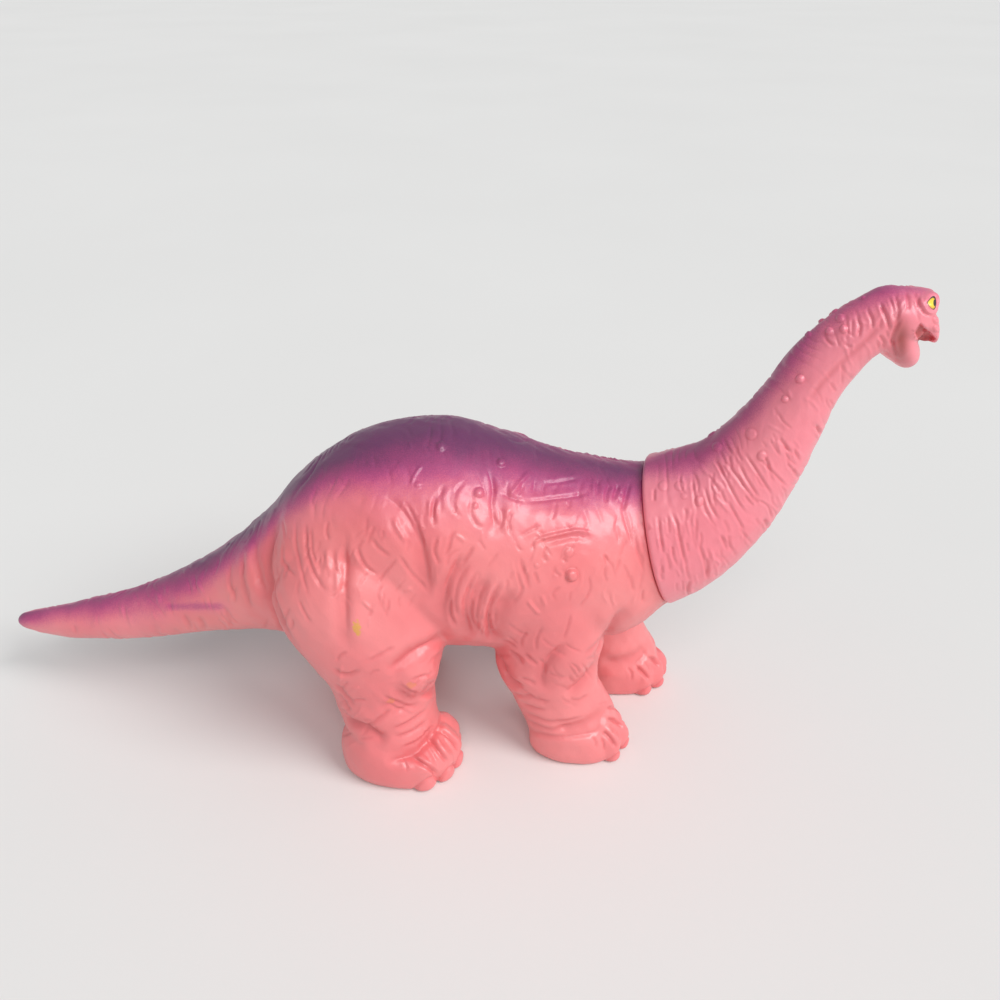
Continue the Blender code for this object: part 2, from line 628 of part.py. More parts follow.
def make_neck():
    """The neck moulding: neck, head, jaw and lips, with the grooved plug that snaps into the body."""
    shells = [loft(neck_path()), loft(neck_path()[-1:] + head_path()),
              loft(mouth_path(JAW_SHARES, JAW_PITCH_DEG)),
              loft(mouth_path(MUZZLE_SHARES, MUZZLE_PITCH_DEG)),
              loft(mouth_path(PALATE_SHARES, PALATE_PITCH_DEG))]
    for side in (-1, 1):
        shells.append(ball(on_head(BROW_SHARES, side), BROW_RADIUS, BROW_STRETCH_SHARES))
        shells.append(ball(on_head(EYE_SHARES, side), EYE_RADIUS))
    neck = skin("neck_with_head", shells, NECK_GRAIN, NECK_KEEP_SHARE, 2)
    hollow = skin("neck_hollow", [loft(neck_path()[1:-1], WALL)], HOLLOW_GRAIN, HOLLOW_KEEP_SHARE, 3)
    stem_radius = SOCKET_RADIUS - PLUG_CLEARANCE
    lip_front = -FRONT_WALL - SEAM_GAP
    plug = turned("neck_plug", (
        (0, SEAM_GAP + WALL), (stem_radius, SEAM_GAP + WALL), (stem_radius, lip_front),
        (SOCKET_RADIUS + PLUG_LIP, lip_front), (stem_radius, lip_front - PLUG_LIP_LENGTH),
        (0, lip_front - PLUG_LIP_LENGTH)))
    bore = turned("plug_bore", (
        (0, SEAM_GAP + WALL + OVERRUN), (stem_radius - PLUG_WALL, SEAM_GAP + WALL + OVERRUN),
        (stem_radius - PLUG_WALL, lip_front - PLUG_LIP_LENGTH - OVERRUN),
        (0, lip_front - PLUG_LIP_LENGTH - OVERRUN)))
    rear = slab("neck_rear_cut", SEAM_CENTRE + SEAM_GAP * SEAM_AXIS, -SEAM_AXIS, SEAM_LEFT, SEAM_UP,
                CUT_SIZE)
    inner = slab("neck_hollow_rear_cut", SEAM_CENTRE + (SEAM_GAP + WALL) * SEAM_AXIS, -SEAM_AXIS,
                 SEAM_LEFT, SEAM_UP, CUT_SIZE)
    cut(hollow, inner)
    cut(neck, rear)
    cut(neck, plug, "UNION")
    cut(neck, hollow)
    cut(neck, bore)
    neck.data.materials.append(material("pink_vinyl_neck", (0.87, 0.27, 0.31), 0.42))
    return neck


def centre_on_floor(parts):
    """Puts the middle of the whole figure's box over the origin."""
    bpy.context.view_layer.update()
    graph = bpy.context.evaluated_depsgraph_get()
    corners = np.array([tuple(c) for part in parts for c in part.evaluated_get(graph).bound_box])
    middle = (corners.min(0) + corners.max(0)) / 2
    holder = bpy.data.objects.new("toy", None)
    bpy.context.scene.collection.objects.link(holder)
    for obj in list(bpy.data.objects):
        if obj is not holder:
            obj.parent = holder
    holder.location = (-middle[0], -middle[1], 0)


def main():
    for old in list(bpy.data.objects):
        bpy.data.objects.remove(old, do_unlink=True)
    centre_on_floor((make_body(), make_neck()))


main()
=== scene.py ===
"""Looks of a long-necked toy dinosaur in soft vinyl: two moulded skins, two painted eyes, a floor.

Every skin starts from the same rounded shells as the solid part. They are joined at a fine grain,
blended, and then carved with the folds, warts, toes and wrinkles of the toy. Metres throughout.
"""

import json

import bmesh
import bpy
import numpy as np
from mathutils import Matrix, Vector


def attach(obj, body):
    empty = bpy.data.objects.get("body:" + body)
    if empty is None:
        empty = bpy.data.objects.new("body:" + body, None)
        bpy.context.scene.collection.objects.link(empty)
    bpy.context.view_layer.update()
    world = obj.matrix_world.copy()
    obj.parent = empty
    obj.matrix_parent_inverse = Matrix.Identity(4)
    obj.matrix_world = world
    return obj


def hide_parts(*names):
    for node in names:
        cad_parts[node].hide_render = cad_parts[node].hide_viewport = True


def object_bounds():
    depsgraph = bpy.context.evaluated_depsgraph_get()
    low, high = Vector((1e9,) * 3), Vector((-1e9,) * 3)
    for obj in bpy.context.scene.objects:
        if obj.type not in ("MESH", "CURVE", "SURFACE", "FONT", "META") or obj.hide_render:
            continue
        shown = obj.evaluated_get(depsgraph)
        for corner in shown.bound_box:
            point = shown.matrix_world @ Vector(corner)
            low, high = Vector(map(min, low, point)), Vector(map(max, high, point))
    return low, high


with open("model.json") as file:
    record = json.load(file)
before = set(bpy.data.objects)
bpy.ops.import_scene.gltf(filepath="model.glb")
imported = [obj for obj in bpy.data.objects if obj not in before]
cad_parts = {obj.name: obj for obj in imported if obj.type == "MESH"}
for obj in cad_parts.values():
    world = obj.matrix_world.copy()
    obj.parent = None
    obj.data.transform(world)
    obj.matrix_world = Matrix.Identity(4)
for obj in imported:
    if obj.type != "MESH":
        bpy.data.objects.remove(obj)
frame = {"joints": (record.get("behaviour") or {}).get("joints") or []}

CAD_BOX = np.array([tuple(corner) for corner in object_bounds()])
MM = 0.001

# Sizes of the moulded part, as in its own source.
TRUNK_LENGTH, TRUNK_HEIGHT, TRUNK_DEPTH, TRUNK_WIDTH = 0.124, 0.0743, 0.0746, 0.0680
TAIL_LENGTH, TAIL_THICKNESS, TAIL_SWAY = 0.100, 0.0354, 0.020
TAIL_PITCH_DEG, TAIL_TURN_DEG = 22.0, 10.0
SEAM_HEIGHT, SEAM_PITCH_DEG, SEAM_TURN_DEG = 0.0738, 15.5, -12.0
BODY_RIM_RADIUS, NECK_RIM_RADIUS, NECK_RIM_LIFT = 0.0228, 0.0240, 0.0008
NECK_REACH, NECK_RISE, NECK_SWAY, NECK_THICKNESS = 0.054, 0.0745, 0.010, 0.0470
HEAD_LENGTH, HEAD_DEPTH, HEAD_WIDTH = 0.0155, 0.0190, 0.0176
BROW_RADIUS, EYE_RADIUS = 0.0027, 0.0023
HIP_BACK, HIP_HEIGHT, HIND_STANCE, HIND_STEP = 0.0935, 0.0880, 0.0235, 0.0100
THIGH_LENGTH, THIGH_WIDTH, KNEE_RADIUS = 0.0520, 0.0340, 0.0095
HIND_FOOT_AHEAD, HIND_FOOT_STANCE, HIND_FOOT_TURN_DEG = 0.0101, 0.0237, 9.0
HIND_FOOT_LENGTH, HIND_FOOT_WIDTH, HIND_FOOT_HEIGHT = 0.0398, 0.0334, 0.0205
SHOULDER_BACK, SHOULDER_HEIGHT, FORE_STANCE, FORE_STEP = 0.0355, 0.0860, 0.0172, 0.0180
UPPER_ARM_LENGTH, UPPER_ARM_WIDTH, ELBOW_RADIUS = 0.0376, 0.0280, 0.0056
FORE_FOOT_AHEAD, FORE_FOOT_TURN_DEG = 0.0109, 4.0
FORE_FOOT_LENGTH, FORE_FOOT_WIDTH, FORE_FOOT_HEIGHT = 0.0340, 0.0240, 0.0175
SEAM_GAP, SOCKET_RADIUS, FRONT_WALL, OVERRUN = 0.0003, 0.0145, 0.0025, 0.0060

# Along the trunk from the seam: place, height of the middle, depth, width.
TRUNK_SHARES = (
    (0.065, 0.936, 0.725, 0.735), (0.160, 0.913, 0.803, 0.824), (0.300, 0.929, 0.885, 0.926),
    (0.403, 0.962, 0.952, 0.970), (0.548, 1.000, 1.000, 1.000), (0.710, 0.984, 0.958, 0.956),
    (0.823, 0.945, 0.850, 0.860), (0.919, 0.885, 0.712, 0.740),
)

# Along the tail from the rump: place, height as a share of the trunk's, thickness, sway.
TAIL_SHARES = (
    (0.01, 0.802, 1.120, 0.02), (0.14, 0.700, 0.840, 0.10), (0.30, 0.596, 0.640, 0.24),
    (0.47, 0.495, 0.520, 0.41), (0.66, 0.416, 0.430, 0.61), (0.83, 0.357, 0.316, 0.80),
    (0.96, 0.331, 0.186, 0.95), (1.00, 0.318, 0.045, 1.00),
)

# Along the neck from the seam: reach, sway, rise, depth, width, then pitch and turn in degrees.
NECK_SHARES = (
    (0.187, 0.20, 0.091, 0.957, 0.920, 18.0, -11.0), (0.331, 0.40, 0.188, 0.842, 0.787, 23.0, -10.0),
    (0.467, 0.50, 0.323, 0.732, 0.660, 29.0, -8.0), (0.561, 0.60, 0.460, 0.625, 0.562, 34.0, -6.0),
    (0.641, 0.70, 0.609, 0.506, 0.468, 42.0, -4.0), (0.722, 0.80, 0.774, 0.425, 0.400, 46.0, -3.0),
    (0.824, 0.90, 0.887, 0.383, 0.374, 37.0, 0.0), (0.898, 0.95, 0.944, 0.392, 0.366, 14.0, 0.0),
)

# Along the head: reach, rise, depth, width and pitch. Then the same for jaw, muzzle and palate.
HEAD_SHARES = (
    (0.00, 0.000, 0.960, 1.000, 0.0), (0.32, 0.030, 0.870, 0.990, -2.0),
    (0.55, 0.065, 0.770, 0.940, -4.0), (0.70, 0.095, 0.660, 0.800, -12.0),
    (0.745, 0.115, 0.560, 0.640, -22.0), (0.77, 0.135, 0.340, 0.400, -28.0),
)
JAW_SHARES = (
    (0.14, -0.17, 0.62, 1.02, -50.0), (0.34, -0.34, 0.54, 0.92, -50.0),
    (0.52, -0.50, 0.43, 0.72, -50.0), (0.62, -0.61, 0.31, 0.52, -50.0),
    (0.67, -0.67, 0.15, 0.28, -50.0),
)
MUZZLE_SHARES = (
    (0.60, 0.12, 0.42, 0.86, -60.0), (0.78, -0.04, 0.31, 0.78, -60.0), (0.89, -0.18, 0.21, 0.64, -60.0),
    (0.95, -0.29, 0.11, 0.44, -60.0),
)
PALATE_SHARES = (
    (0.60, -0.06, 0.30, 0.46, -52.0), (0.74, -0.18, 0.24, 0.40, -52.0),
    (0.86, -0.28, 0.15, 0.26, -52.0),
)
# Brows and eyes: ahead, out and up on the head. Then how brows, knees and elbows are stretched.
BROW_SHARES, EYE_SHARES = (0.50, 0.25, 0.29), (0.57, 0.29, 0.26)
BROW_STRETCH, BULGE_STRETCH = (1.3, 1.0, 0.8), (1.0, 1.0, 1.2)

# Down a leg: fore-and-aft place, stance, height, fore-and-aft size, width, share of the step.
HIND_LEG_SHARES = (
    (0.106, 0.64, 1.000, 0.46, 0.47, 0.00), (0.029, 0.85, 0.886, 0.81, 0.82, 0.05),
    (0.000, 0.94, 0.750, 1.00, 1.00, 0.20), (0.040, 0.98, 0.614, 0.95, 1.00, 0.40),
    (0.085, 1.00, 0.497, 0.80, 0.93, 0.60), (0.115, 1.00, 0.381, 0.65, 0.85, 0.80),
    (0.133, 1.00, 0.261, 0.60, 0.82, 0.90), (0.173, 1.00, 0.164, 0.57, 0.86, 1.00),
    (0.180, 1.00, 0.060, 0.55, 0.88, 1.00),
)
FORE_LEG_SHARES = (
    (0.146, 0.60, 1.000, 0.48, 0.57, 0.00), (0.066, 0.85, 0.884, 0.85, 0.93, 0.08),
    (0.000, 0.99, 0.756, 1.00, 1.00, 0.25), (0.000, 1.02, 0.628, 0.98, 0.96, 0.45),
    (0.026, 1.02, 0.507, 0.92, 0.89, 0.78), (0.012, 1.00, 0.413, 0.88, 0.82, 0.90),
    (0.045, 0.99, 0.337, 0.83, 0.77, 0.98), (0.115, 0.97, 0.267, 0.82, 0.75, 1.00),
    (0.215, 0.96, 0.169, 0.84, 0.78, 1.00), (0.253, 0.96, 0.080, 0.76, 0.78, 1.00),
)
# The bulge of the knee and of the elbow: fore-and-aft place, stance, height, share of the step.
KNEE_SHARES, ELBOW_SHARES = (0.29, 1.24, 0.49, 0.60), (-0.25, 1.05, 0.40, 0.90)

# A foot from heel to toe: place, height of the middle, height, width. The toes' bearings, from the outer
# one in. Then along a toe: reach, height of the middle, height, width, pitch.
FOOT_SHARES = (
    (0.05, 0.37, 0.62, 0.42), (0.14, 0.40, 0.92, 0.72), (0.32, 0.42, 1.15, 0.95),
    (0.54, 0.38, 1.10, 1.00), (0.70, 0.31, 0.86, 0.94), (0.80, 0.24, 0.56, 0.76),
)
FOOT_SQUARENESS, MIDFOOT_SHARE = 2.9, 0.5
HIND_TOES_DEG, FORE_TOES_DEG = (52.0, 27.0, 2.0, -29.0), (38.0, 3.0, -32.0, -60.0)
TOE_SHARES = (
    (0.40, 0.50, 0.60, 0.26, -10.0), (0.62, 0.46, 0.64, 0.29, -25.0), (0.78, 0.33, 0.56, 0.30, -45.0),
    (0.87, 0.18, 0.40, 0.27, -65.0), (0.92, 0.00, 0.22, 0.18, -80.0),
)

# Each main fold of a flank: its depth and width, then where it runs, back from the seam as a share of
# the trunk's length and up as a share of its height. They start this far behind the seam, and fade
# where the skin turns up or down.
FOLD_DEPTH, FOLD_WIDTH, RELIEF_START, FLANK_FADE_SHARES = 0.0016, 0.0022, 0.0100, (0.15, 0.50)
FOLD_SHARES = (
    (1.0, 1.4, 0.93, 1.20, 0.98, 1.06, 0.98, 0.92, 0.93, 0.80),
    (0.5, 1.0, 0.77, 1.20, 0.76, 1.05, 0.77, 0.88, 0.76, 0.76),
    (0.7, 1.3, 0.69, 1.36, 0.61, 1.28, 0.58, 1.12, 0.58, 0.92),
    (0.7, 1.1, 0.48, 1.16, 0.53, 1.00, 0.54, 0.84), (0.8, 1.1, 0.43, 1.08, 0.48, 0.90, 0.48, 0.72),
    (0.9, 1.2, 0.38, 1.02, 0.42, 0.84, 0.42, 0.66), (0.5, 1.0, 0.43, 1.40, 0.41, 1.30, 0.42, 1.19),
    (0.6, 1.2, 0.36, 1.32, 0.27, 1.31, 0.18, 1.29), (0.7, 1.1, 0.10, 0.86, 0.13, 0.66, 0.17, 0.52),
    (0.6, 1.1, 0.23, 0.72, 0.29, 0.60, 0.30, 0.42), (0.6, 1.1, 0.15, 0.56, 0.19, 0.46, 0.24, 0.39),
    (0.6, 1.0, 0.41, 0.56, 0.38, 0.45, 0.34, 0.43), (0.8, 1.0, 0.53, 0.72, 0.61, 0.72, 0.68, 0.65),
    (0.8, 1.1, 0.67, 0.57, 0.61, 0.48, 0.54, 0.55), (0.5, 1.0, 0.70, 0.50, 0.63, 0.42, 0.59, 0.42),
    (0.9, 1.2, 0.82, 0.34, 0.74, 0.32, 0.69, 0.25), (0.9, 1.2, 0.70, 0.17, 0.61, 0.20, 0.55, 0.25),
    (0.8, 1.1, 0.27, 0.21, 0.19, 0.22, 0.11, 0.26),
)

# Each muscle, and below 0 each hollow: its rise and radius, then its place, measured the same way.
MUSCLE_RISE, MUSCLE_RADIUS = 0.0012, 0.0100
MUSCLE_SHARES = (
    (1.0, 0.9, 0.67, 1.24), (0.8, 1.2, 0.83, 1.08), (0.9, 1.2, 0.26, 1.12), (0.6, 0.9, 0.30, 0.92),
    (-0.8, 0.7, 0.48, 1.06), (-0.7, 0.6, 0.56, 1.00), (-0.5, 0.7, 0.16, 0.90), (0.5, 0.6, 0.50, 1.32),
    (0.5, 0.8, 0.30, 1.40), (-0.6, 0.7, 0.64, 0.82), (0.6, 0.5, 0.22, 0.58),
)

# Fineness of the skins, in how many rounds and how strongly their joins are blended, and the last
# smoothing over what is carved.
RING_POINTS, STEPS_BETWEEN, BALL_LATITUDES_DEG = 48, 8, (-84.0, -60.0, -30.0, 0.0, 30.0, 60.0, 84.0)
BODY_GRAIN, NECK_GRAIN = 0.00044, 0.00034
BODY_BLENDS, NECK_BLENDS, BLEND_STRENGTH, TOE_BLEND_SHARE = 30, 12, 0.5, 0.85
BODY_SMOOTHING, NECK_SMOOTHING = 0.15, 0.2
MOST_TRIANGLES = 190000

# The photograph's camera. Folds are drawn in its pixels and carried on to the skin.
CAMERA_PLACE = np.array((0.0270, -0.272, 0.2425))
CAMERA_DIP_DEG, FOCAL_PIXELS, FRAME_PIXELS, SENSOR_MM, CAMERA_REACH = 30.0, 1003.0, 1000.0, 36.0, 50.0

# Each fold: half width in pixels, depth in mm (below 0 is a ridge) and, where it has one, the swell on
# its left side in mm. Then the column and row of each pixel that it runs through.
TAIL_ROOT_FOLDS = (
    ((2.6, 0.8, -0.5), 284, 508, 272, 529, 266, 555, 268, 577, 273, 599, 280, 619, 291, 640, 305, 660),
    ((2.6, 0.5), 257, 530, 254, 553, 258, 577, 267, 600),
    ((2.4, 0.4), 246, 548, 243, 570, 247, 592, 252, 610), ((2.2, 0.3), 231, 560, 230, 580, 236, 600),
    ((1.4, -0.25), 196, 580, 198, 585, 204, 594), ((1.4, -0.22), 166, 586, 166, 594),
    ((1.4, -0.22), 157, 594, 160, 603), ((1.4, -0.22), 138, 598, 138, 605),
    ((1.4, -0.22), 121, 604, 122, 615), ((2.2, 0.35), 182, 614, 188, 622, 192, 630),
    ((2.2, 0.35), 197, 616, 203, 623, 206, 630), ((2.0, 0.25), 222, 605, 228, 616, 232, 626),
)
HAUNCH_FOLDS = (
    ((1.8, 0.45), 307, 520, 309, 552, 314, 570, 322, 585, 330, 593),
    ((1.4, 0.3), 312, 525, 314, 550, 319, 570), ((1.4, 0.28), 297, 518, 298, 545, 305, 578, 311, 600),
    ((1.5, 0.3), 284, 556, 289, 568, 298, 577), ((1.5, 0.3), 299, 598, 305, 612, 312, 624),
    ((2.2, 0.35, 0.3), 347, 531, 346, 560, 345, 590, 346, 620, 347, 640),
    ((2.6, -0.5), 339, 545, 339, 570, 338, 598), ((2.8, -0.45), 329, 548, 330, 560, 328, 572),
    ((1.8, 0.4), 357, 544, 362, 558, 368, 568, 379, 575),
    ((1.5, 0.3), 400, 556, 390, 566, 382, 576, 376, 586), ((1.5, -0.35), 362, 600, 368, 606, 374, 611),
    ((1.6, -0.35), 404, 593, 409, 589, 412, 591), ((1.5, 0.25), 329, 520, 327, 532, 331, 541),
    ((1.4, 0.22), 384, 584, 378, 596, 383, 606),
    ((2.2, 0.3, 0.4), 378, 494, 394, 503, 408, 519, 418, 537, 424, 556, 428, 580, 430, 604),
    ((1.6, 0.4), 404, 500, 413, 516, 420, 534, 425, 552), ((2.2, -0.55), 394, 517, 400, 530, 408, 543),
    ((1.6, 0.35), 398, 552, 408, 568, 419, 584, 430, 597), ((2.0, 0.35), 371, 536, 380, 548, 391, 556),
    ((1.3, -0.4), 423, 465, 416, 473, 411, 485), ((1.2, -0.25), 408, 441, 412, 449),
    ((1.2, -0.2), 356, 457, 353, 464), ((1.3, 0.2), 318, 486, 313, 500, 316, 512),
)
FLANK_FOLDS = (
    ((2.4, 0.65), 445, 484, 438, 497, 433, 511, 435, 528), ((1.7, -0.45), 440, 486, 437, 502, 436, 520),
    ((1.6, -0.45), 430, 501, 430, 517), ((1.8, 0.45, 0.2), 488, 468, 494, 486, 492, 506, 496, 528),
    ((1.8, 0.4), 453, 488, 450, 500, 452, 512), ((1.8, 0.4), 466, 480, 456, 492, 454, 508, 462, 520),
    ((1.8, 0.35), 474, 498, 470, 510, 476, 524, 486, 528),
    ((1.8, 0.4, 0.2), 522, 502, 536, 501, 552, 499, 574, 496, 592, 491),
    ((2.0, 0.45), 500, 490, 511, 498, 525, 502), ((2.0, -0.5), 530, 471, 518, 485, 508, 498),
    ((1.6, 0.35), 543, 484, 562, 481, 580, 478), ((2.0, 0.45), 501, 506, 503, 518, 499, 530),
    ((1.6, 0.35), 512, 510, 508, 522, 512, 534), ((1.5, 0.3), 556, 500, 554, 512, 550, 522),
    ((1.5, 0.3), 570, 499, 568, 510), ((1.6, -0.35), 456, 535, 462, 539, 465, 543),
    ((1.6, 0.3), 520, 537, 530, 530, 541, 526),
)
SHOULDER_FOLDS = (
    ((1.6, -0.65), 529, 545, 542, 538, 560, 534, 577, 531, 594, 534),
    ((2.8, 0.45), 540, 545, 558, 540, 576, 537, 592, 540), ((1.4, -0.4), 535, 533, 546, 540),
    ((1.6, 0.35), 561, 557, 566, 562), ((1.6, 0.35), 547, 546, 543, 556, 547, 562),
    ((1.8, 0.5), 597, 480, 597, 496), ((1.8, 0.55), 610, 484, 606, 494, 606, 504),
    ((1.8, 0.55), 618, 484, 614, 500), ((1.8, 0.6), 630, 481, 626, 496, 622, 513),
    ((1.8, 0.4), 622, 508, 627, 526, 634, 548), ((1.5, 0.35), 632, 520, 637, 548, 645, 575),
    ((1.4, 0.25), 588, 575, 590, 588, 586, 600), ((1.4, 0.25), 601, 553, 612, 566, 616, 580),
    ((1.7, -0.4), 526, 597, 532, 605, 540, 614), ((1.6, -0.35), 540, 592, 543, 599, 546, 605),
    ((1.7, 0.35), 519, 556, 524, 573, 530, 590), ((1.6, 0.3), 533, 570, 538, 583),
    ((1.5, 0.25), 561, 585, 552, 592, 556, 600),
)
BELLY_FOLDS = (
    ((1.9, 0.4, 0.2), 462, 552, 454, 570, 447, 588, 444, 607),
    ((1.7, 0.35, 0.1), 472, 562, 460, 580, 455, 600, 458, 620),
    ((1.9, 0.4, 0.2), 480, 568, 469, 588, 465, 610, 470, 634),
    ((1.8, 0.4, 0.2), 490, 578, 480, 598, 477, 618, 482, 640),
    ((2.4, 0.7, 0.4), 502, 580, 492, 600, 488, 622, 493, 645),
    ((1.8, 0.5), 453, 596, 450, 612, 457, 628), ((1.8, 0.5), 472, 600, 471, 616, 478, 632),
    ((1.6, 0.4), 438, 535, 434, 550, 440, 566), ((1.6, 0.35), 452, 532, 449, 546, 444, 558),
    ((1.8, 0.4), 474, 545, 468, 556, 461, 566),
)
FORE_LEG_FOLDS = (
    ((2.1, 0.5, 0.3), 622, 612, 611, 628, 603, 644, 597, 660),
    ((1.9, 0.35, 0.2), 566, 645, 554, 654, 547, 664, 542, 676, 543, 690),
    ((1.8, 0.35), 607, 632, 594, 645, 583, 655),
    ((1.9, 0.4, 0.2), 598, 658, 591, 671, 580, 685, 566, 694),
    ((1.7, 0.35), 568, 699, 578, 700, 588, 694),
    ((1.9, 0.4, 0.2), 500, 655, 502, 669, 510, 680, 524, 686),
    ((1.8, 0.5), 508, 650, 516, 656, 524, 664), ((1.6, 0.45), 524, 653, 531, 659, 538, 666),
    ((1.6, 0.4), 520, 676, 529, 680, 536, 686), ((1.6, 0.4), 511, 692, 522, 696, 534, 696),
    ((1.6, 0.4), 526, 694, 538, 700, 551, 702), ((1.6, 0.4), 521, 703, 533, 708, 547, 711),
    ((1.7, 0.4), 520, 709, 534, 717, 550, 722, 570, 720, 586, 714),
    ((1.7, 0.4), 524, 717, 537, 725, 553, 730, 572, 727),
    ((2.2, 0.4, 0.1), 524, 722, 532, 730, 546, 735, 562, 737, 581, 735, 595, 731, 602, 722, 606, 710,
     606, 698),
    ((1.5, 0.3), 543, 625, 536, 640, 537, 652), ((1.5, 0.3), 571, 612, 567, 628, 562, 640),
    ((1.5, 0.3), 528, 630, 521, 640, 522, 648),
)
HIND_LEG_FOLDS = (
    ((1.8, 0.4, 0.4), 441, 640, 429, 645, 414, 655, 402, 664, 390, 671),
    ((1.6, 0.4), 408, 680, 420, 677, 433, 673),
    ((2.0, 0.5, -0.4), 397, 682, 408, 691, 421, 696, 433, 691, 441, 678),
    ((1.8, 0.45, 0.2), 382, 695, 395, 702, 408, 707, 421, 705),
    ((1.7, 0.4), 386, 703, 399, 710, 412, 712), ((1.8, 0.5, 0.3), 391, 729, 408, 722, 428, 708),
    ((1.7, 0.45, 0.2), 393, 738, 412, 731, 430, 718), ((1.8, 0.45), 400, 748, 417, 742, 436, 724),
    ((2.2, 0.6, 0.3), 342, 714, 352, 724, 367, 728, 383, 742),
    ((1.8, 0.5), 368, 725, 381, 717, 392, 709), ((1.8, 0.5), 332, 668, 346, 675, 361, 670),
    ((1.8, 0.5), 334, 682, 345, 694, 355, 706), ((1.5, 0.4), 338, 692, 346, 703, 352, 712),
    ((1.5, 0.35), 366, 662, 380, 655, 396, 647),
    ((2.2, 0.6, 0.2), 386, 765, 398, 760, 412, 756, 421, 750, 432, 739, 440, 725, 441, 708),
    ((1.5, 0.35), 336, 662, 340, 655, 348, 652),
)
HIND_TOE_FOLDS = (
    ((1.8, 0.9, 0.35), 410, 757, 418, 761, 426, 766, 433, 771, 438, 777),
    ((2.6, 0.0, 0.35), 433, 771, 426, 766, 418, 761, 411, 757),
    ((1.8, 0.9, 0.35), 430, 737, 435, 746, 441, 755, 448, 763),
    ((1.7, 0.8, 0.25), 438, 729, 447, 736, 454, 743, 458, 751),
    ((1.2, 0.35), 402, 758, 406, 765, 407, 773), ((1.1, 0.25), 423, 751, 427, 757, 429, 764),
    ((1.1, 0.25), 429, 747, 432, 753, 435, 760), ((1.1, 0.25), 437, 736, 441, 742, 444, 748),
)
FORE_TOE_FOLDS = (
    ((1.8, 0.8, 0.3), 601, 730, 607, 735, 612, 741, 616, 748),
    ((2.4, 0.0, 0.3), 612, 741, 607, 736, 601, 731),
    ((1.7, 0.8, 0.2), 606, 718, 612, 720, 618, 723, 623, 728),
    ((1.5, 0.7), 607, 708, 613, 707, 619, 710), ((1.2, 0.35), 591, 736, 595, 741, 596, 748),
    ((1.2, 0.35), 600, 737, 603, 743, 604, 751), ((1.1, 0.25), 608, 723, 611, 728, 612, 734),
)
BODY_FOLDS = (TAIL_ROOT_FOLDS + HAUNCH_FOLDS + FLANK_FOLDS + SHOULDER_FOLDS + BELLY_FOLDS
              + FORE_LEG_FOLDS + HIND_LEG_FOLDS + HIND_TOE_FOLDS + FORE_TOE_FOLDS)
# The left fore foot shows its inner side in the photograph, and these folds aren't mirrored. They lie
# further left than this, and fade out between these heights.
LEFT_FOOT_INSIDE, LEFT_FOOT_HEIGHTS = 0.004, (0.030, 0.036)
LEFT_FORE_FOOT_FOLDS = (
    ((1.7, 0.8, 0.3), 635, 665, 640, 670, 645, 675, 650, 681),
    ((2.4, 0.0, 0.35), 645, 675, 640, 670, 635, 665),
    ((1.8, 0.5), 633, 667, 640, 661, 645, 656, 646, 648),
    ((1.6, 0.7, 0.2), 647, 656, 653, 660, 660, 667), ((1.1, 0.25), 643, 661, 647, 666, 649, 671),
    ((1.2, 0.35), 627, 667, 631, 673, 631, 680),
)
NECK_FOLDS = (
    ((1.5, 0.35), 658, 515, 660, 535, 664, 556), ((1.5, 0.4), 670, 510, 677, 525, 681, 546, 687, 570),
    ((1.4, 0.3), 654, 488, 654, 502), ((1.5, 0.35), 697, 540, 704, 560, 708, 582),
    ((1.6, 0.35), 720, 534, 728, 551), ((1.4, 0.3), 704, 486, 711, 508, 720, 521),
    ((1.4, 0.35), 714, 454, 726, 480, 738, 502, 748, 516), ((1.4, 0.35), 725, 460, 739, 480, 753, 498),
    ((1.4, 0.35), 744, 452, 757, 472, 773, 497), ((1.4, 0.3), 738, 462, 746, 478, 760, 500),
    ((1.4, 0.3), 760, 459, 775, 475, 788, 488), ((1.4, 0.3), 727, 500, 738, 520, 745, 532),
    ((1.4, 0.3), 692, 470, 694, 492, 697, 512), ((1.4, 0.3), 779, 436, 786, 448, 792, 454),
    ((1.6, 0.45), 816, 424, 820, 433, 823, 442), ((1.8, 0.5), 764, 518, 767, 526, 771, 534),
    ((1.5, 0.4), 706, 556, 708, 568, 706, 578), ((1.6, 0.4), 690, 580, 688, 590, 690, 598),
    ((2.6, 0.3), 888, 316, 862, 344, 838, 366, 818, 388, 804, 410),
    ((1.5, 0.4), 823, 330, 827, 340, 834, 346), ((1.5, 0.4), 855, 314, 860, 326, 858, 338),
    ((1.5, 0.4), 866, 308, 872, 320, 872, 330), ((1.7, 0.5), 879, 301, 886, 316, 890, 332),
    ((1.8, 0.55), 894, 292, 898, 308, 896, 326), ((1.6, 0.5), 905, 290, 908, 300, 909, 311),
    ((1.6, 0.45), 914, 291, 918, 302, 918, 311), ((1.6, 0.4), 889, 296, 894, 310, 893, 322),
    ((1.6, 0.45), 904, 316, 897, 326, 892, 340, 896, 356, 902, 364),
    ((1.5, 0.35), 878, 334, 884, 342, 882, 350), ((1.4, 0.4), 920, 291, 919, 302, 925, 313, 935, 316),
    ((1.3, -0.35), 925, 304, 930, 296, 936, 296),
)

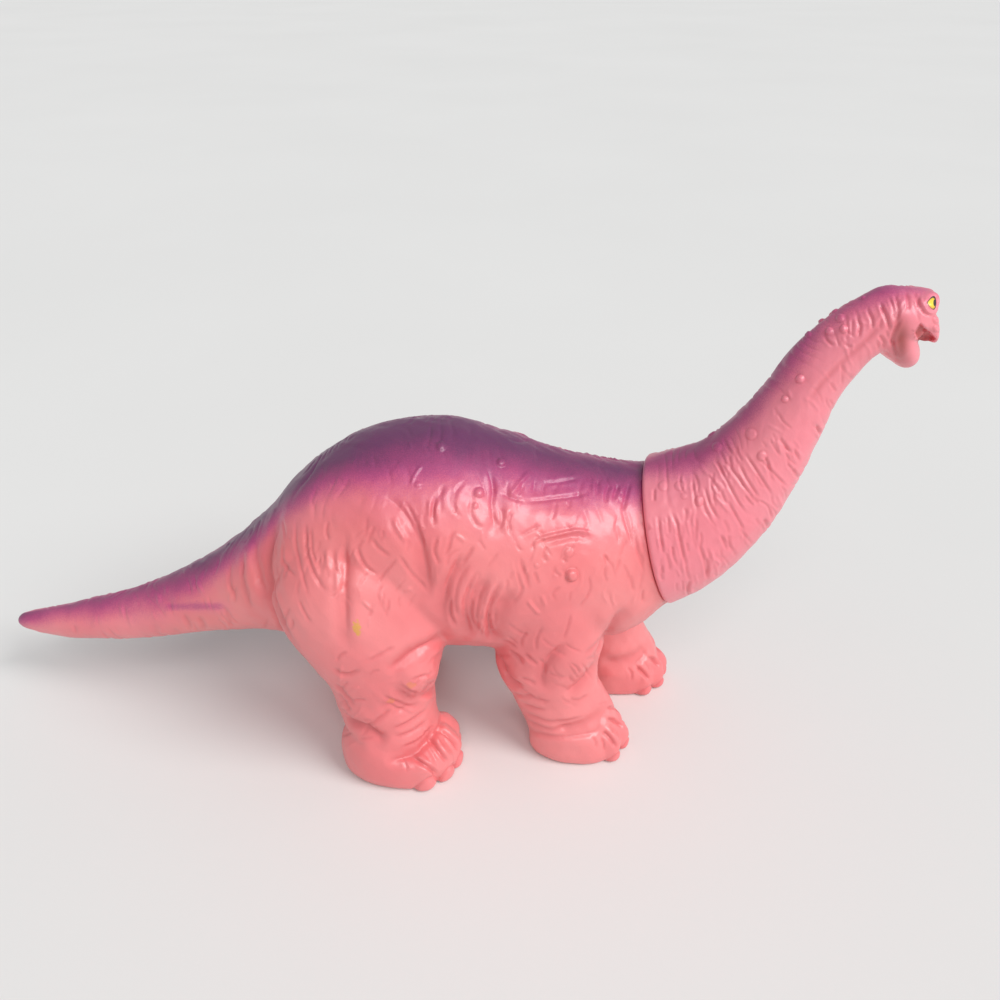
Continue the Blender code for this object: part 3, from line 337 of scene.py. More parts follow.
# Fine short folds, scattered: how many, the pixels' area (left, top, right, bottom), the way they run
# in degrees from the right, turning clockwise, how far that way varies, and their greatest depth in mm.
# Their half length and half width are between these, in pixels, and this share of them are ridges.
BODY_FINE_FOLDS = (
    (46, (284, 505, 428, 625), 92, 22, 0.28), (54, (432, 478, 600, 600), 95, 26, 0.30),
    (24, (596, 480, 646, 600), 92, 16, 0.32), (36, (300, 425, 640, 482), 80, 40, 0.18),
    (32, (502, 625, 612, 722), 28, 24, 0.30), (32, (340, 655, 440, 745), -26, 26, 0.32),
    (16, (205, 540, 284, 640), 82, 14, 0.26), (14, (40, 596, 205, 640), 72, 14, 0.22),
    (22, (440, 590, 500, 640), 105, 16, 0.32),
)
NECK_FINE_FOLDS = (
    (50, (646, 470, 715, 600), 82, 8, 0.24), (70, (705, 440, 800, 570), 62, 9, 0.28),
    (34, (770, 370, 850, 460), 55, 14, 0.20), (26, (820, 310, 892, 380), 68, 20, 0.20),
    (8, (896, 290, 922, 312), 85, 20, 0.16),
)
BODY_FOLDS_SEED, NECK_FOLDS_SEED = 5, 9
FINE_FOLD_LENGTH, FINE_FOLD_WIDTH, FINE_FOLD_BEND_SHARE = (4.0, 13.0), (1.1, 1.6), 0.14
FINE_DEPTH_SHARES, RIDGE_SHARE, RIDGE_HEIGHT_SHARE = (0.35, 1.0), 0.3, -0.8

# How a fold is cut. The places and widths of its lip, swell and groove are in its own half widths.
FOLD_CURVE_STEPS, FOLD_REACH, FOLD_TAPER_SHARES = 4, 7, (-0.02, 0.24)
LIP_RISE_SHARE, LIP_OUT, SWELL_OUT, SWELL_WIDTH = 0.3, 2.1, 3.2, 2.2
GROOVE_WIDTH, GROOVE_LEAST_SHARE = 1.15, 0.25

# Each wart: column and row of its middle, radius in pixels, height in mm. Round its foot runs a groove,
# its place and width given in radii, and painted shade at a share in it. The left side has only the warts
# below these rows.
WART_RING, WART_RING_SHARE, WART_SHADE_SHARE, LEFT_WART_ROWS = (1.12, 0.2), 0.3, 0.5, (470, 490)
BODY_WARTS = (
    (441, 446, 5.0, 0.8), (501, 463, 4.5, 1.0), (479, 493, 5.0, 1.0), (571, 574, 6.0, 1.5),
    (568, 552, 4.5, 0.4), (418, 485, 3.2, 0.4), (536, 565, 2.5, 0.3), (475, 506, 3.0, 0.4),
    (436, 415, 4.0, 0.5), (463, 418, 4.0, 0.5),
)
NECK_WARTS = (
    (829.5, 331, 3.8, 0.7), (844, 329, 4.0, 0.8), (800, 379, 4.2, 0.8), (785, 399, 3.4, 0.6),
    (762, 456, 4.6, 0.45), (751, 434, 5.4, 0.4), (717, 447, 4.6, 0.35), (699, 501, 4.6, 0.35),
    (679, 486, 4.2, 0.25), (663, 486, 4.4, 0.2), (808, 334, 3.6, 0.6), (840, 318, 4.0, 0.5),
    (862, 296, 3.6, 0.5), (684, 496, 3.0, 0.15),
)

# The open mouth in the photograph's pixels: corner, lip's tip, foot of the cheek, cheek; its inside gets
# painted shade. Then small ridges on the gum and along the cheek's edge, and the pad of the nostril, as
# warts. The rim about the eye, the painted eye and the hollow behind the jaw, which gets painted shade,
# are ovals: column, row, half width, half height.
MOUTH_CORNERS = ((920.6, 323.0), (936.6, 340.0), (919.5, 344.0), (914.5, 332.5))
MOUTH_RIDGES = (
    (922.5, 331.5, 1.2, 0.5), (925.3, 334.0, 1.2, 0.5), (928.2, 336.0, 1.2, 0.5), (931.0, 338.0, 1.1, 0.4),
    (914.4, 330.0, 1.2, 0.5), (914.9, 333.2, 1.2, 0.5), (916.2, 336.4, 1.2, 0.5), (917.8, 339.6, 1.2, 0.5),
)
NOSTRIL_PADS = ((937.0, 320.0, 3.8, 0.5), (936.8, 328.5, 3.4, 0.35))
EYELID, EYE = (931.8, 303.0, 6.2, 8.6), (931.6, 302.8, 4.7, 9.7)
JAW_SHADE_OVAL = (901.5, 340.0, 8.5, 24.0)
MOUTH_EDGE, MOUTH_DEPTH = (-0.6, 1.4), 1.3
# Rings of the eyelid, as height in mm, and place and width as shares of its oval; then the eye's swell.
EYELID_RINGS, EYE_SWELL = ((0.35, 1.15, 0.25), (-0.2, 0.88, 0.12)), (0.15, 0.65)

# Nails and toes, in mm on the hind foot. A nail's half width and height, its rise, the ring round it
# and the share of painted shade in that ring. Then the plump toe above: rise, height and half size.
# Reaches are shares of half the foot.
NAIL_SIZES, NAIL_RISE, NAIL_RING, NAIL_SHADE_SHARE = (3.5, 5.6), 0.6, (1.07, 0.13), 0.5
PLUMP_RISE, PLUMP_HEIGHT, PLUMP_SIZE = 0.3, 9.5, 3.0
TOE_START_SHARES, NAIL_START_SHARES, TOE_END_SHARE, TOE_FADE_SHARE = (0.64, 0.82), (0.74, 0.84), 1.3, 0.08
TOE_TOP, TOE_TOP_FADE = 19, 5
# The toes keep their joins sharp between these reaches, and up to these shares of the foot's height.
SHARP_START_SHARES, SHARP_END_SHARES, SHARP_TOP_SHARES = (0.5, 0.7), (1.2, 1.4), (0.7, 1.0)

# Wrinkles across a limb: their pitch and height in mm, and a seed. Lumps: height in mm, size, seed.
BACK_WRINKLES, TAIL_WRINKLES, SIDE_WRINKLES = (4.6, 0.35, 3), (4.2, 0.3, 7), (7.0, 0.08, 11)
NECK_WRINKLES, WRINKLE_WIDTH, WRINKLE_LIP = (3.4, 0.22, 31), 0.42, 0.35
WRINKLE_BEND, WRINKLE_BEND_SIZE, WRINKLE_PATCH, WRINKLE_PATCH_SIZE = 0.9, 0.022, (-0.1, 0.7), 0.011
LUMP_WAVES, LUMP_STRETCH = 6, (0.6, 1.4)
BODY_LUMPS, NECK_LUMPS = ((0.07, 0.004, 21), (0.12, 0.011, 22)), ((0.05, 0.0035, 41), (0.08, 0.009, 42))
# The back's lie where it faces up this far, above these heights, and half as high on the tail, which
# starts this far ahead of the trunk's end and takes this long to come in.
BACK_SLOPES, BACK_HEIGHTS, BACK_LOSS_SHARE = (0.35, 0.85), (0.03, 0.05), 0.5
TAIL_AHEAD, TAIL_FADE, TAIL_LEAN, SIDE_LEAN = 0.01, 0.02, 0.25, 0.4
# The neck's run across this pitch and turn, from these distances ahead of the seam until about the
# head's root. They are full on its upper and under edges, and this share of it on its sides.
NECK_WAY_DEG, NECK_RIM_FADE, HEAD_AHEAD, HEAD_PAST = (38, -6), (0.002, 0.008), 0.006, 0.002
EDGE_LEAST_SHARE, EDGE_SLOPES = 0.25, (0.45, 0.9)
# Painted shade: how red the grooves of the main folds and the wrinkles get, beside the drawn folds.
FLANK_SHADE_SHARE, TAIL_SHADE_SHARE, NECK_SHADE_SHARE = 0.6, 0.35, 0.3
# Carving starts between these heights above the floor, and stays this far inside the solid's box.
FLOOR_FADE, BOX_EDGE = (-0.001, 0.002), 0.0015

# How squarely the skin faces the camera: where carving begins and is full, and the same for the eye.
FACING_COSINES, EYE_FACING = (0.0, 0.3), (0.05, 0.25)
# Ahead of the seam, what is below these heights steps with the left fore leg, and above is the neck.
NECK_OVERHANG = (0.040, 0.050)
# How the skins end at the seam: the socket's inner lip, the neck's rounded edge, the plug and its lip.
SOCKET_LIP_INSET, EDGE_CUT, EDGE_CURVE, PLUG_LIP, PLUG_TAPER = 0.004, 0.0016, 0.0013, 0.0018, 0.003

# Where the spray ends: column, the lowest row of its full cover, the row where it has faded out.
SPRAY_ROWS = (
    (15, 619, 632), (50, 603, 625), (100, 594, 623), (150, 583, 618), (200, 568, 596),
    (250, 537, 556), (285, 500, 524), (310, 481, 510), (335, 468, 499), (360, 459, 497),
    (385, 455, 503), (410, 452, 502), (435, 450, 502), (460, 452, 500), (485, 454, 505),
    (510, 458, 507), (535, 463, 511), (560, 467, 513), (585, 471, 517), (610, 474, 516),
    (640, 474, 519),
)
NECK_SPRAY_ROWS = (
    (643, 456, 482), (675, 451, 483), (700, 446, 476), (725, 422, 460), (750, 398, 430),
    (775, 366, 399), (800, 331, 373), (825, 302, 341), (850, 285, 325), (875, 282, 309),
    (900, 277, 305), (925, 272, 298), (935, 270, 293),
)

# Its cover is 1 and 0 there and runs on past both. Then the streak low on the tail: column, row, half
# length, half width, and share of its cover.
SPRAY_LEAST, SPRAY_MOST, STREAK_COVER = -1.0, 2.0, 1.6
STREAK = (193.0, 606.5, 46.0, 7.5, 0.90)


def direction(pitch_deg, turn_deg):
    """The unit vectors along, to the left of and above a path with this pitch and turn."""
    pitch, turn = np.radians(pitch_deg), np.radians(turn_deg)
    along = np.array((np.cos(pitch) * np.cos(turn), np.cos(pitch) * np.sin(turn), np.sin(pitch)))
    left = np.array((-np.sin(turn), np.cos(turn), 0))
    return along, left, np.cross(along, left)


SEAM_CENTRE = np.array(frame["joints"][0]["pos_m"])
SEAM_X = SEAM_CENTRE[0]
SEAM_AXIS, _, SEAM_UP = direction(SEAM_PITCH_DEG, SEAM_TURN_DEG)
HEAD_ROOT = np.array((SEAM_X + NECK_REACH, -NECK_SWAY, SEAM_HEIGHT + NECK_RISE))


def station(centre, depth, width, pitch_deg, turn_deg=0):
    """One cross-section of a limb: its middle, its half sizes, and the way the limb runs there."""
    return (*centre, depth / 2, width / 2, pitch_deg, turn_deg)


def smooth_stations(stations, steps=STEPS_BETWEEN):
    """Catmull-Rom curve through the rows, with this many steps to each stretch."""
    rows = np.array(stations, float)
    ends = np.vstack((2 * rows[:1] - rows[1:2], rows, 2 * rows[-1:] - rows[-2:-1]))
    t = np.arange(steps)[:, None, None] / steps
    a, b, c, d = ends[:-3], ends[1:-2], ends[2:-1], ends[3:]
    curve = 0.5 * (2 * b + (c - a) * t + (2 * a - 5 * b + 4 * c - d) * t**2
                   + (3 * b - a - 3 * c + d) * t**3)
    return np.vstack((curve.transpose(1, 0, 2).reshape(-1, rows.shape[1]), rows[-1:]))


def loft(stations, squareness=2):
    """Closed skin through rounded sections, as points and faces.

    Each ring is a superellipse: its half sizes times the cosine and sine of the angle, each raised
    to 2 / squareness, laid along the section's own left and above vectors.
    """
    rows = smooth_stations(stations)
    pitch, turn = np.radians(rows[:, 5]), np.radians(rows[:, 6])
    left = np.stack((-np.sin(turn), np.cos(turn), 0 * turn), 1)
    above = np.stack((-np.sin(pitch) * np.cos(turn), -np.sin(pitch) * np.sin(turn), np.cos(pitch)), 1)
    angle = 2 * np.pi * np.arange(RING_POINTS) / RING_POINTS
    rise = np.sign(np.sin(angle)) * np.abs(np.sin(angle)) ** (2 / squareness)
    side = np.sign(np.cos(angle)) * np.abs(np.cos(angle)) ** (2 / squareness)
    ring = (rows[:, None, :3] + rows[:, None, 3:4] * rise[None, :, None] * above[:, None]
            + rows[:, None, 4:5] * side[None, :, None] * left[:, None])
    points = np.vstack((ring.reshape(-1, 3), rows[:1, :3], rows[-1:, :3]))
    first = np.arange(len(rows) - 1)[:, None] * RING_POINTS
    here = np.arange(RING_POINTS)
    after = (here + 1) % RING_POINTS
    quads = np.stack((first + here, first + after, first + RING_POINTS + after,
                      first + RING_POINTS + here), 2).reshape(-1, 4)
    low, high, last = len(points) - 2, len(points) - 1, (len(rows) - 1) * RING_POINTS
    fans = np.vstack((np.stack((0 * here + low, after, here), 1),
                      np.stack((0 * here + high, last + here, last + after), 1)))
    return points, quads.tolist() + fans.tolist()


def ball(centre, radius, stretch=(1, 1, 1)):
    """Closed ellipsoid: a loft along X through rings of radius times the cosine of their latitude."""
    angles = np.radians(BALL_LATITUDES_DEG)
    return loft([station(np.array(centre) + (radius * np.sin(a) * stretch[0], 0, 0),
                         2 * radius * np.cos(a) * stretch[2], 2 * radius * np.cos(a) * stretch[1], 0)
                 for a in angles])


def trunk_and_tail():
    """Stations of the trunk from just past the seam to the rump, then down to the tail's tip."""
    rim = 2 * BODY_RIM_RADIUS
    rows = [station(SEAM_CENTRE + OVERRUN * SEAM_AXIS, rim, rim, SEAM_PITCH_DEG, SEAM_TURN_DEG),
            station(SEAM_CENTRE, rim, rim, SEAM_PITCH_DEG, SEAM_TURN_DEG)]
    for place, height, depth, width in TRUNK_SHARES:
        level = max(0, 1 - place / TRUNK_SHARES[1][0])
        rows.append(station((SEAM_X - place * TRUNK_LENGTH, 0, height * TRUNK_HEIGHT),
                            depth * TRUNK_DEPTH, width * TRUNK_WIDTH, level * SEAM_PITCH_DEG,
                            level * SEAM_TURN_DEG))
    for place, height, thickness, sway in TAIL_SHARES:
        centre = (SEAM_X - TRUNK_LENGTH - place * TAIL_LENGTH, sway * TAIL_SWAY, height * TRUNK_HEIGHT)
        rows.append(station(centre, thickness * TAIL_THICKNESS, thickness * TAIL_THICKNESS,
                            TAIL_PITCH_DEG * min(1, 2 * place), -TAIL_TURN_DEG * min(1, 2 * place)))
    return rows


def neck_path():
    """Stations of the neck from just behind the seam to the root of the head."""
    rim = 2 * NECK_RIM_RADIUS
    lifted = SEAM_CENTRE + NECK_RIM_LIFT * SEAM_UP
    rows = [station(lifted - OVERRUN * SEAM_AXIS, rim, rim, SEAM_PITCH_DEG, SEAM_TURN_DEG),
            station(lifted, rim, rim, SEAM_PITCH_DEG, SEAM_TURN_DEG)]
    for reach, sway, rise, depth, width, pitch, turn in NECK_SHARES:
        centre = (SEAM_X + reach * NECK_REACH, -sway * NECK_SWAY, SEAM_HEIGHT + rise * NECK_RISE)
        rows.append(station(centre, depth * NECK_THICKNESS, width * NECK_THICKNESS, pitch, turn))
    return rows


def head_path(shares):
    """Stations of the skull, the jaw, the muzzle or the palate."""
    return [station(HEAD_ROOT + (reach * HEAD_LENGTH, 0, rise * HEAD_DEPTH), depth * HEAD_DEPTH,
                    width * HEAD_WIDTH, pitch)
            for reach, rise, depth, width, pitch in shares]


def on_head(shares, side):
    """A point on the head, from shares of its length, its width to one side, and its depth."""
    ahead, out, up = shares
    return HEAD_ROOT + (ahead * HEAD_LENGTH, side * out * HEAD_WIDTH, up * HEAD_DEPTH)


def leg(side, back, height, stance, length, width, step, shares):
    """Stations of one leg from inside the trunk down to the ankle; side is 1 on the left."""
    return [station((SEAM_X - back + ahead * length + step_share * step, side * out * stance,
                     up * height), long_share * length, wide_share * width, -90)
            for ahead, out, up, long_share, wide_share, step_share in shares]


class Foot:
    """One foot: its sizes, and how a place on it goes to and from the whole toy's metres."""

    def __init__(self, side, middle, stance, length, width, height, turn_deg, toes_deg):
        self.side, self.middle, self.stance, self.toes_deg = side, middle, stance, toes_deg
        self.length, self.width, self.height, self.turn_deg = length, width, height, turn_deg
        self.cos, self.sin = np.cos(np.radians(turn_deg)), np.sin(np.radians(turn_deg))

    def place(self, ahead, out, up):
        return (self.middle + ahead * self.cos - out * self.sin,
                self.side * (self.stance + out * self.cos + ahead * self.sin), up * self.height)

    def shells(self):
        """The pad from heel to toe, and four toes that run out from it at their bearings."""
        pad = [station(self.place((place - MIDFOOT_SHARE) * self.length, 0, mid), tall * self.height,
                       wide * self.width, 0, self.side * self.turn_deg)
               for place, mid, tall, wide in FOOT_SHARES]
        shells = [loft(pad, FOOT_SQUARENESS)]
        for bearing in np.radians(self.toes_deg):
            ahead, out = self.length / 2 * np.cos(bearing), self.width / 2 * np.sin(bearing)
            toe_turn = self.side * (self.turn_deg + np.degrees(np.arctan2(out, ahead)))
            shells.append(loft([
                station(self.place(reach * ahead, reach * out, up), thick * self.height,
                        wide * self.width, pitch, toe_turn)
                for reach, up, thick, wide, pitch in TOE_SHARES]))
        return shells

    def polar(self, points):
        """Bearing in degrees from the middle of the foot, outwards, and reach as a share of its half."""
        dx, dy = points[:, 0] - self.middle, self.side * points[:, 1] - self.stance
        ahead = (dx * self.cos + dy * self.sin) / (self.length / 2)
        out = (dy * self.cos - dx * self.sin) / (self.width / 2)
        return np.degrees(np.arctan2(out, ahead)), np.hypot(ahead, out)


def leg_sets():
    """Each leg's shells, and its foot. The left hind foot is a step back, the left fore one ahead."""
    for side, hind_step, fore_step in ((-1, 0, 0), (1, -HIND_STEP, FORE_STEP)):
        for back, height, stance, length, width, step, shares, bulge, radius, foot in (
                (HIP_BACK, HIP_HEIGHT, HIND_STANCE, THIGH_LENGTH, THIGH_WIDTH, hind_step,
                 HIND_LEG_SHARES, KNEE_SHARES, KNEE_RADIUS,
                 (HIND_FOOT_AHEAD, HIND_FOOT_STANCE, HIND_FOOT_LENGTH, HIND_FOOT_WIDTH,
                  HIND_FOOT_HEIGHT, HIND_FOOT_TURN_DEG, HIND_TOES_DEG)),
                (SHOULDER_BACK, SHOULDER_HEIGHT, FORE_STANCE, UPPER_ARM_LENGTH, UPPER_ARM_WIDTH,
                 fore_step, FORE_LEG_SHARES, ELBOW_SHARES, ELBOW_RADIUS,
                 (FORE_FOOT_AHEAD, FORE_STANCE, FORE_FOOT_LENGTH, FORE_FOOT_WIDTH,
                  FORE_FOOT_HEIGHT, FORE_FOOT_TURN_DEG, FORE_TOES_DEG))):
            ahead, out, up, step_share = bulge
            centre = (SEAM_X - back + ahead * length + step_share * step, side * out * stance,
                      up * height)
            yield ([loft(leg(side, back, height, stance, length, width, step, shares)),
                    ball(centre, radius, BULGE_STRETCH)],
                   Foot(side, SEAM_X - back + foot[0] + step, *foot[1:]))


def smooth_step(value, low, high):
    """0 below low, 1 above high, and 3t^2 - 2t^3 between."""
    t = np.clip((value - low) / (high - low), 0, 1)
    return t * t * (3 - 2 * t)


def bell(value, width):
    """exp(-(value / width)^2)"""
    return np.exp(-(value / width) ** 2)


def fade(value, full, gone):
    """1 up to full, 0 from gone on, and a smooth step between."""
    return smooth_step(-value, -gone, -full)


def lumps(points, size, seed):
    """Smooth lumps between about -1 and 1: sine waves in scattered directions, summed."""
    mixed, count = np.random.default_rng(seed), LUMP_WAVES
    waves = mixed.normal(size=(count, 3))
    stretch = mixed.uniform(*LUMP_STRETCH, count)
    waves *= (2 * np.pi / size * stretch / np.linalg.norm(waves, axis=1))[:, None]
    return np.sin(points @ waves.T + mixed.uniform(0, 2 * np.pi, count)).sum(1) / (count / 2)


def mesh_arrays(mesh):
    """The mesh's points, the four corners of each face (the last one repeated on a triangle), edges."""
    read = {}
    for items, key, count, kind in (
            (mesh.vertices, "co", 3, np.float32), (mesh.edges, "vertices", 2, np.int32),
            (mesh.polygons, "loop_start", 1, np.int32), (mesh.polygons, "loop_total", 1, np.int32),
            (mesh.loops, "vertex_index", 1, np.int32)):
        read[key] = np.empty(len(items) * count, kind)
        items.foreach_get(key, read[key])
    last = read["loop_total"][:, None] - 1
    faces = read["vertex_index"][read["loop_start"][:, None] + np.minimum(np.arange(4), last)]
    return read["co"].reshape(-1, 3).astype(float), faces, read["vertices"].reshape(-1, 2)


def add_mask(mesh, name, values):
    """One value for each point, for the paint to read."""
    mesh.attributes.new(name, "FLOAT", "POINT").data.foreach_set("value", values.astype(np.float32))


def finished(obj):
    """A new mesh, as the object's modifiers leave it; the object itself is removed."""
    graph = bpy.context.evaluated_depsgraph_get()
    mesh = bpy.data.meshes.new_from_object(obj.evaluated_get(graph))
    bpy.data.objects.remove(obj, do_unlink=True)
    return mesh


def put(name, data):
    """A new object in the scene: a mesh, a lamp or the camera."""
    obj = bpy.data.objects.new(name, data)
    bpy.context.scene.collection.objects.link(obj)
    return obj


def joined(name, shells, grain):
    """One closed skin over overlapping shells, remeshed at this grain, as points, faces and edges."""
    starts = np.cumsum([0] + [len(points) for points, _ in shells])
    faces = [[start + corner for corner in face] for start, (_, some) in zip(starts, shells)
             for face in some]
    mesh = bpy.data.meshes.new(name)
    mesh.from_pydata(np.vstack([points for points, _ in shells]).tolist(), [], faces)
    work = bmesh.new()
    work.from_mesh(mesh)
    bmesh.ops.recalc_face_normals(work, faces=work.faces)
    work.to_mesh(mesh)
    work.free()
    obj = put(name, mesh)
    remesh = obj.modifiers.new("skin", "REMESH")
    remesh.mode, remesh.voxel_size = "VOXEL", grain
    return mesh_arrays(finished(obj))


def relaxed(points, edges, rounds, strength):
    """Points drawn towards the mean of their neighbours, each by its own strength, rounds times."""
    ends = np.concatenate((edges, edges[:, ::-1]))
    count = np.bincount(ends[:, 0], minlength=len(points))[:, None]
    for _ in range(rounds):
        mean = np.stack([np.bincount(ends[:, 0], points[ends[:, 1], k], len(points))
                         for k in range(3)], 1) / count
        points = points + strength * (mean - points)
    return points


def outward(points, faces):
    """Unit normals of the points: the faces' diagonal cross products, summed at their corners."""
    cross = np.cross(points[faces[:, 2]] - points[faces[:, 0]], points[faces[:, 3]] - points[faces[:, 1]])
    normals = np.stack([sum(np.bincount(faces[:, c], cross[:, k], len(points)) for c in range(4))
                        for k in range(3)], 1)
    return normals / np.linalg.norm(normals, axis=1)[:, None]


def photo_pixels(points):
    """Column and row of each point in the photograph's frame."""
    dip = np.radians(CAMERA_DIP_DEG)
    ahead, above = np.array((0, np.cos(dip), -np.sin(dip))), np.array((0, np.sin(dip), np.cos(dip)))
    seen = points - CAMERA_PLACE
    depth = seen @ ahead
    return (FRAME_PIXELS / 2 + FOCAL_PIXELS * seen[:, 0] / depth,
            FRAME_PIXELS / 2 - FOCAL_PIXELS * (seen @ above) / depth)


def middle_plane(x):
    """Y of the toy's middle at each X: the tail swings to its left, the neck to its right."""
    tail = [(SEAM_X - TRUNK_LENGTH - place * TAIL_LENGTH, sway * TAIL_SWAY)
            for place, _, _, sway in reversed(TAIL_SHARES)]
    neck = [(SEAM_X, 0)] + [(SEAM_X + row[0] * NECK_REACH, -row[1] * NECK_SWAY) for row in NECK_SHARES]
    places, sways = np.array(tail + neck + [(HEAD_ROOT[0], HEAD_ROOT[1])]).T
    return np.interp(x, places, sways)


def right_twin(points):
    """The points folded on to the toy's right side, with the left legs' steps undone."""
    x, y, z = points.T
    middle = middle_plane(x)
    left = y > middle
    hind_share, fore_share = (
        np.interp(z / height, [row[2] for row in shares[::-1]], [row[5] for row in shares[::-1]])
        for height, shares in ((HIP_HEIGHT, HIND_LEG_SHARES), (SHOULDER_HEIGHT, FORE_LEG_SHARES)))
    ahead = smooth_step(x, SEAM_X - 2 * SHOULDER_BACK, SEAM_X - SHOULDER_BACK)
    off_neck = np.maximum(smooth_step(SEAM_X - x, 0, OVERRUN), 1 - smooth_step(z, *NECK_OVERHANG))
    step = (1 - ahead) * hind_share * -HIND_STEP + ahead * fore_share * FORE_STEP * off_neck
    return np.stack((np.where(left, x - step, x), np.where(left, 2 * middle - y, y), z), 1)


def facing_share(points, normals):
    """0 where the skin turns away from the camera, 1 where it faces it well."""
    towards = CAMERA_PLACE - points
    return smooth_step((normals * towards).sum(1) / np.linalg.norm(towards, axis=1), *FACING_COSINES)


def photo_view(points, normals):
    """Each point's twin on the photographed side: its column, its row, and how far it faces us."""
    twins = right_twin(points)
    turned = normals * np.where((points[:, 1] > middle_plane(points[:, 0]))[:, None], (1, -1, 1), 1)
    return *photo_pixels(twins), facing_share(twins, turned)


def fold_relief(columns, rows, folds):
    """Height in mm and groove depth, 0 to 1, of drawn folds.

    Across a fold the height is minus its depth times a bell, with a low lip either side and, where
    it has one, a wide swell on one side. Along it both ends taper off.
    """
    height, groove = np.zeros(len(columns)), np.zeros(len(columns))
    for (half_width, depth, *swell), *drawn in folds:
        line = smooth_stations(np.reshape(drawn, (-1, 2)), FOLD_CURVE_STEPS)
        reach = FOLD_REACH * half_width
        near = np.flatnonzero((columns > line[:, 0].min() - reach) & (columns < line[:, 0].max() + reach)
                              & (rows > line[:, 1].min() - reach) & (rows < line[:, 1].max() + reach))
        if not len(near):
            continue
        spot = np.stack((columns[near], rows[near]), 1)[:, None]
        start, run = line[:-1][None], (line[1:] - line[:-1])[None]
        length = np.linalg.norm(run[0], axis=1)
        t = np.clip(((spot - start) * run).sum(2) / length**2, 0, 1)
        gap = spot - start - t[..., None] * run
        distance = np.linalg.norm(gap, axis=2)
        best = distance.argmin(1)
        pick = np.arange(len(near)), best
        distance = distance[pick]
        side = np.sign(run[0, best, 1] * gap[pick][:, 0] - run[0, best, 0] * gap[pick][:, 1])
        along = (np.cumsum(length)[best] - length[best] + t[pick] * length[best]) / length.sum()
        taper = smooth_step(np.minimum(along, 1 - along), *FOLD_TAPER_SHARES)
        cut = bell(distance, half_width)
        lip = bell(distance - LIP_OUT * half_width, half_width)
        rise = bell(side * distance - SWELL_OUT * half_width, SWELL_WIDTH * half_width)
        height[near] += taper * (depth * (LIP_RISE_SHARE * lip - cut) + sum(swell) * rise)
        if depth > 0:
            groove[near] = np.maximum(groove[near], taper * bell(distance, GROOVE_WIDTH * half_width)
                                      * min(1, GROOVE_LEAST_SHARE + depth))
    return height, groove


def fine_folds(areas, seed):
    """Short, nearly straight folds and ridges, laid at random over each area along its own way."""
    mixed = np.random.default_rng(seed)
    folds = []
    for count, (left, top, right, bottom), way, spread, most in areas:
        for _ in range(count):
            middle = np.array((mixed.uniform(left, right), mixed.uniform(top, bottom)))
            angle = np.radians(way + spread * mixed.normal())
            half = mixed.uniform(*FINE_FOLD_LENGTH) * np.array((np.cos(angle), np.sin(angle)))
            bend = FINE_FOLD_BEND_SHARE * mixed.normal() * np.array((-half[1], half[0]))
            depth = (most * mixed.uniform(*FINE_DEPTH_SHARES)
                     * (RIDGE_HEIGHT_SHARE if mixed.uniform() < RIDGE_SHARE else 1.0))
            folds.append(((mixed.uniform(*FINE_FOLD_WIDTH), depth),
                          middle - half, middle + bend, middle + half))
    return tuple(folds)


def wart_relief(columns, rows, warts):
    """Height in mm of round warts: a flattened dome, with a fine groove at its foot."""
    height, groove = np.zeros(len(columns)), np.zeros(len(columns))
    for column, row, radius, tall in warts:
        q = np.hypot(columns - column, rows - row) / radius
        ring = bell(q - WART_RING[0], WART_RING[1])
        height += tall * (np.exp(-q**4) - WART_RING_SHARE * ring)
        groove = np.maximum(groove, WART_SHADE_SHARE * ring)
    return height, groove


def flank_relief(points, normals):
    """Height in mm and groove depth of the flanks' main folds and muscles, which the solid has too.

    Both are placed on the side view: folds as drawn folds, each muscle a bell about its middle. They
    fade where the skin turns up or down, and towards the seam.
    """
    twins, size = right_twin(points), np.array((TRUNK_LENGTH, TRUNK_HEIGHT)) / MM
    back, up = (SEAM_X - twins[:, 0]) / MM, twins[:, 2] / MM
    height, groove = fold_relief(back, up, [
        ((width * FOLD_WIDTH / MM, depth * FOLD_DEPTH / MM), *(np.reshape(drawn, (-1, 2)) * size))
        for depth, width, *drawn in FOLD_SHARES])
    for rise, radius, place, level in MUSCLE_SHARES:
        distance = np.hypot(back - place * size[0], up - level * size[1])
        height += rise * MUSCLE_RISE / MM * bell(distance, radius * MUSCLE_RADIUS / MM)
    sideways = (smooth_step(np.abs(normals[:, 1]), *FLANK_FADE_SHARES)
                * smooth_step(back * MM, 0, RELIEF_START))
    return sideways * height, sideways * groove


def toe_relief(points, foot):
    """Height in mm and groove depth of a foot's nails and of the plump toe above each.

    A nail is a half dome on the floor, exp(-q^6) of its own ellipse q, inside a ring groove.
    """
    bearing, reach = foot.polar(points)
    scale = foot.width / HIND_FOOT_WIDTH
    tall = points[:, 2] / MM / scale
    out = (smooth_step(reach, *TOE_START_SHARES) * smooth_step(TOE_END_SHARE - reach, 0, TOE_FADE_SHARE)
           * smooth_step(TOE_TOP - tall, 0, TOE_TOP_FADE))
    across = np.radians(1) * reach * foot.width / 2 / MM
    height, groove = np.zeros(len(points)), np.zeros(len(points))
    for toe in foot.toes_deg:
        aside = (bearing - toe) * across / scale
        q = np.hypot(aside / NAIL_SIZES[0], tall / NAIL_SIZES[1])
        front = smooth_step(reach, *NAIL_START_SHARES) * out
        ring = bell(q - NAIL_RING[0], NAIL_RING[1])
        height += scale * front * (NAIL_RISE * np.exp(-q**6) - NAIL_RISE * ring)
        groove = np.maximum(groove, NAIL_SHADE_SHARE * front * ring)
        height += (PLUMP_RISE * scale * bell(aside, PLUMP_SIZE) * bell(tall - PLUMP_HEIGHT, PLUMP_SIZE)
                   * out)
    return height, groove


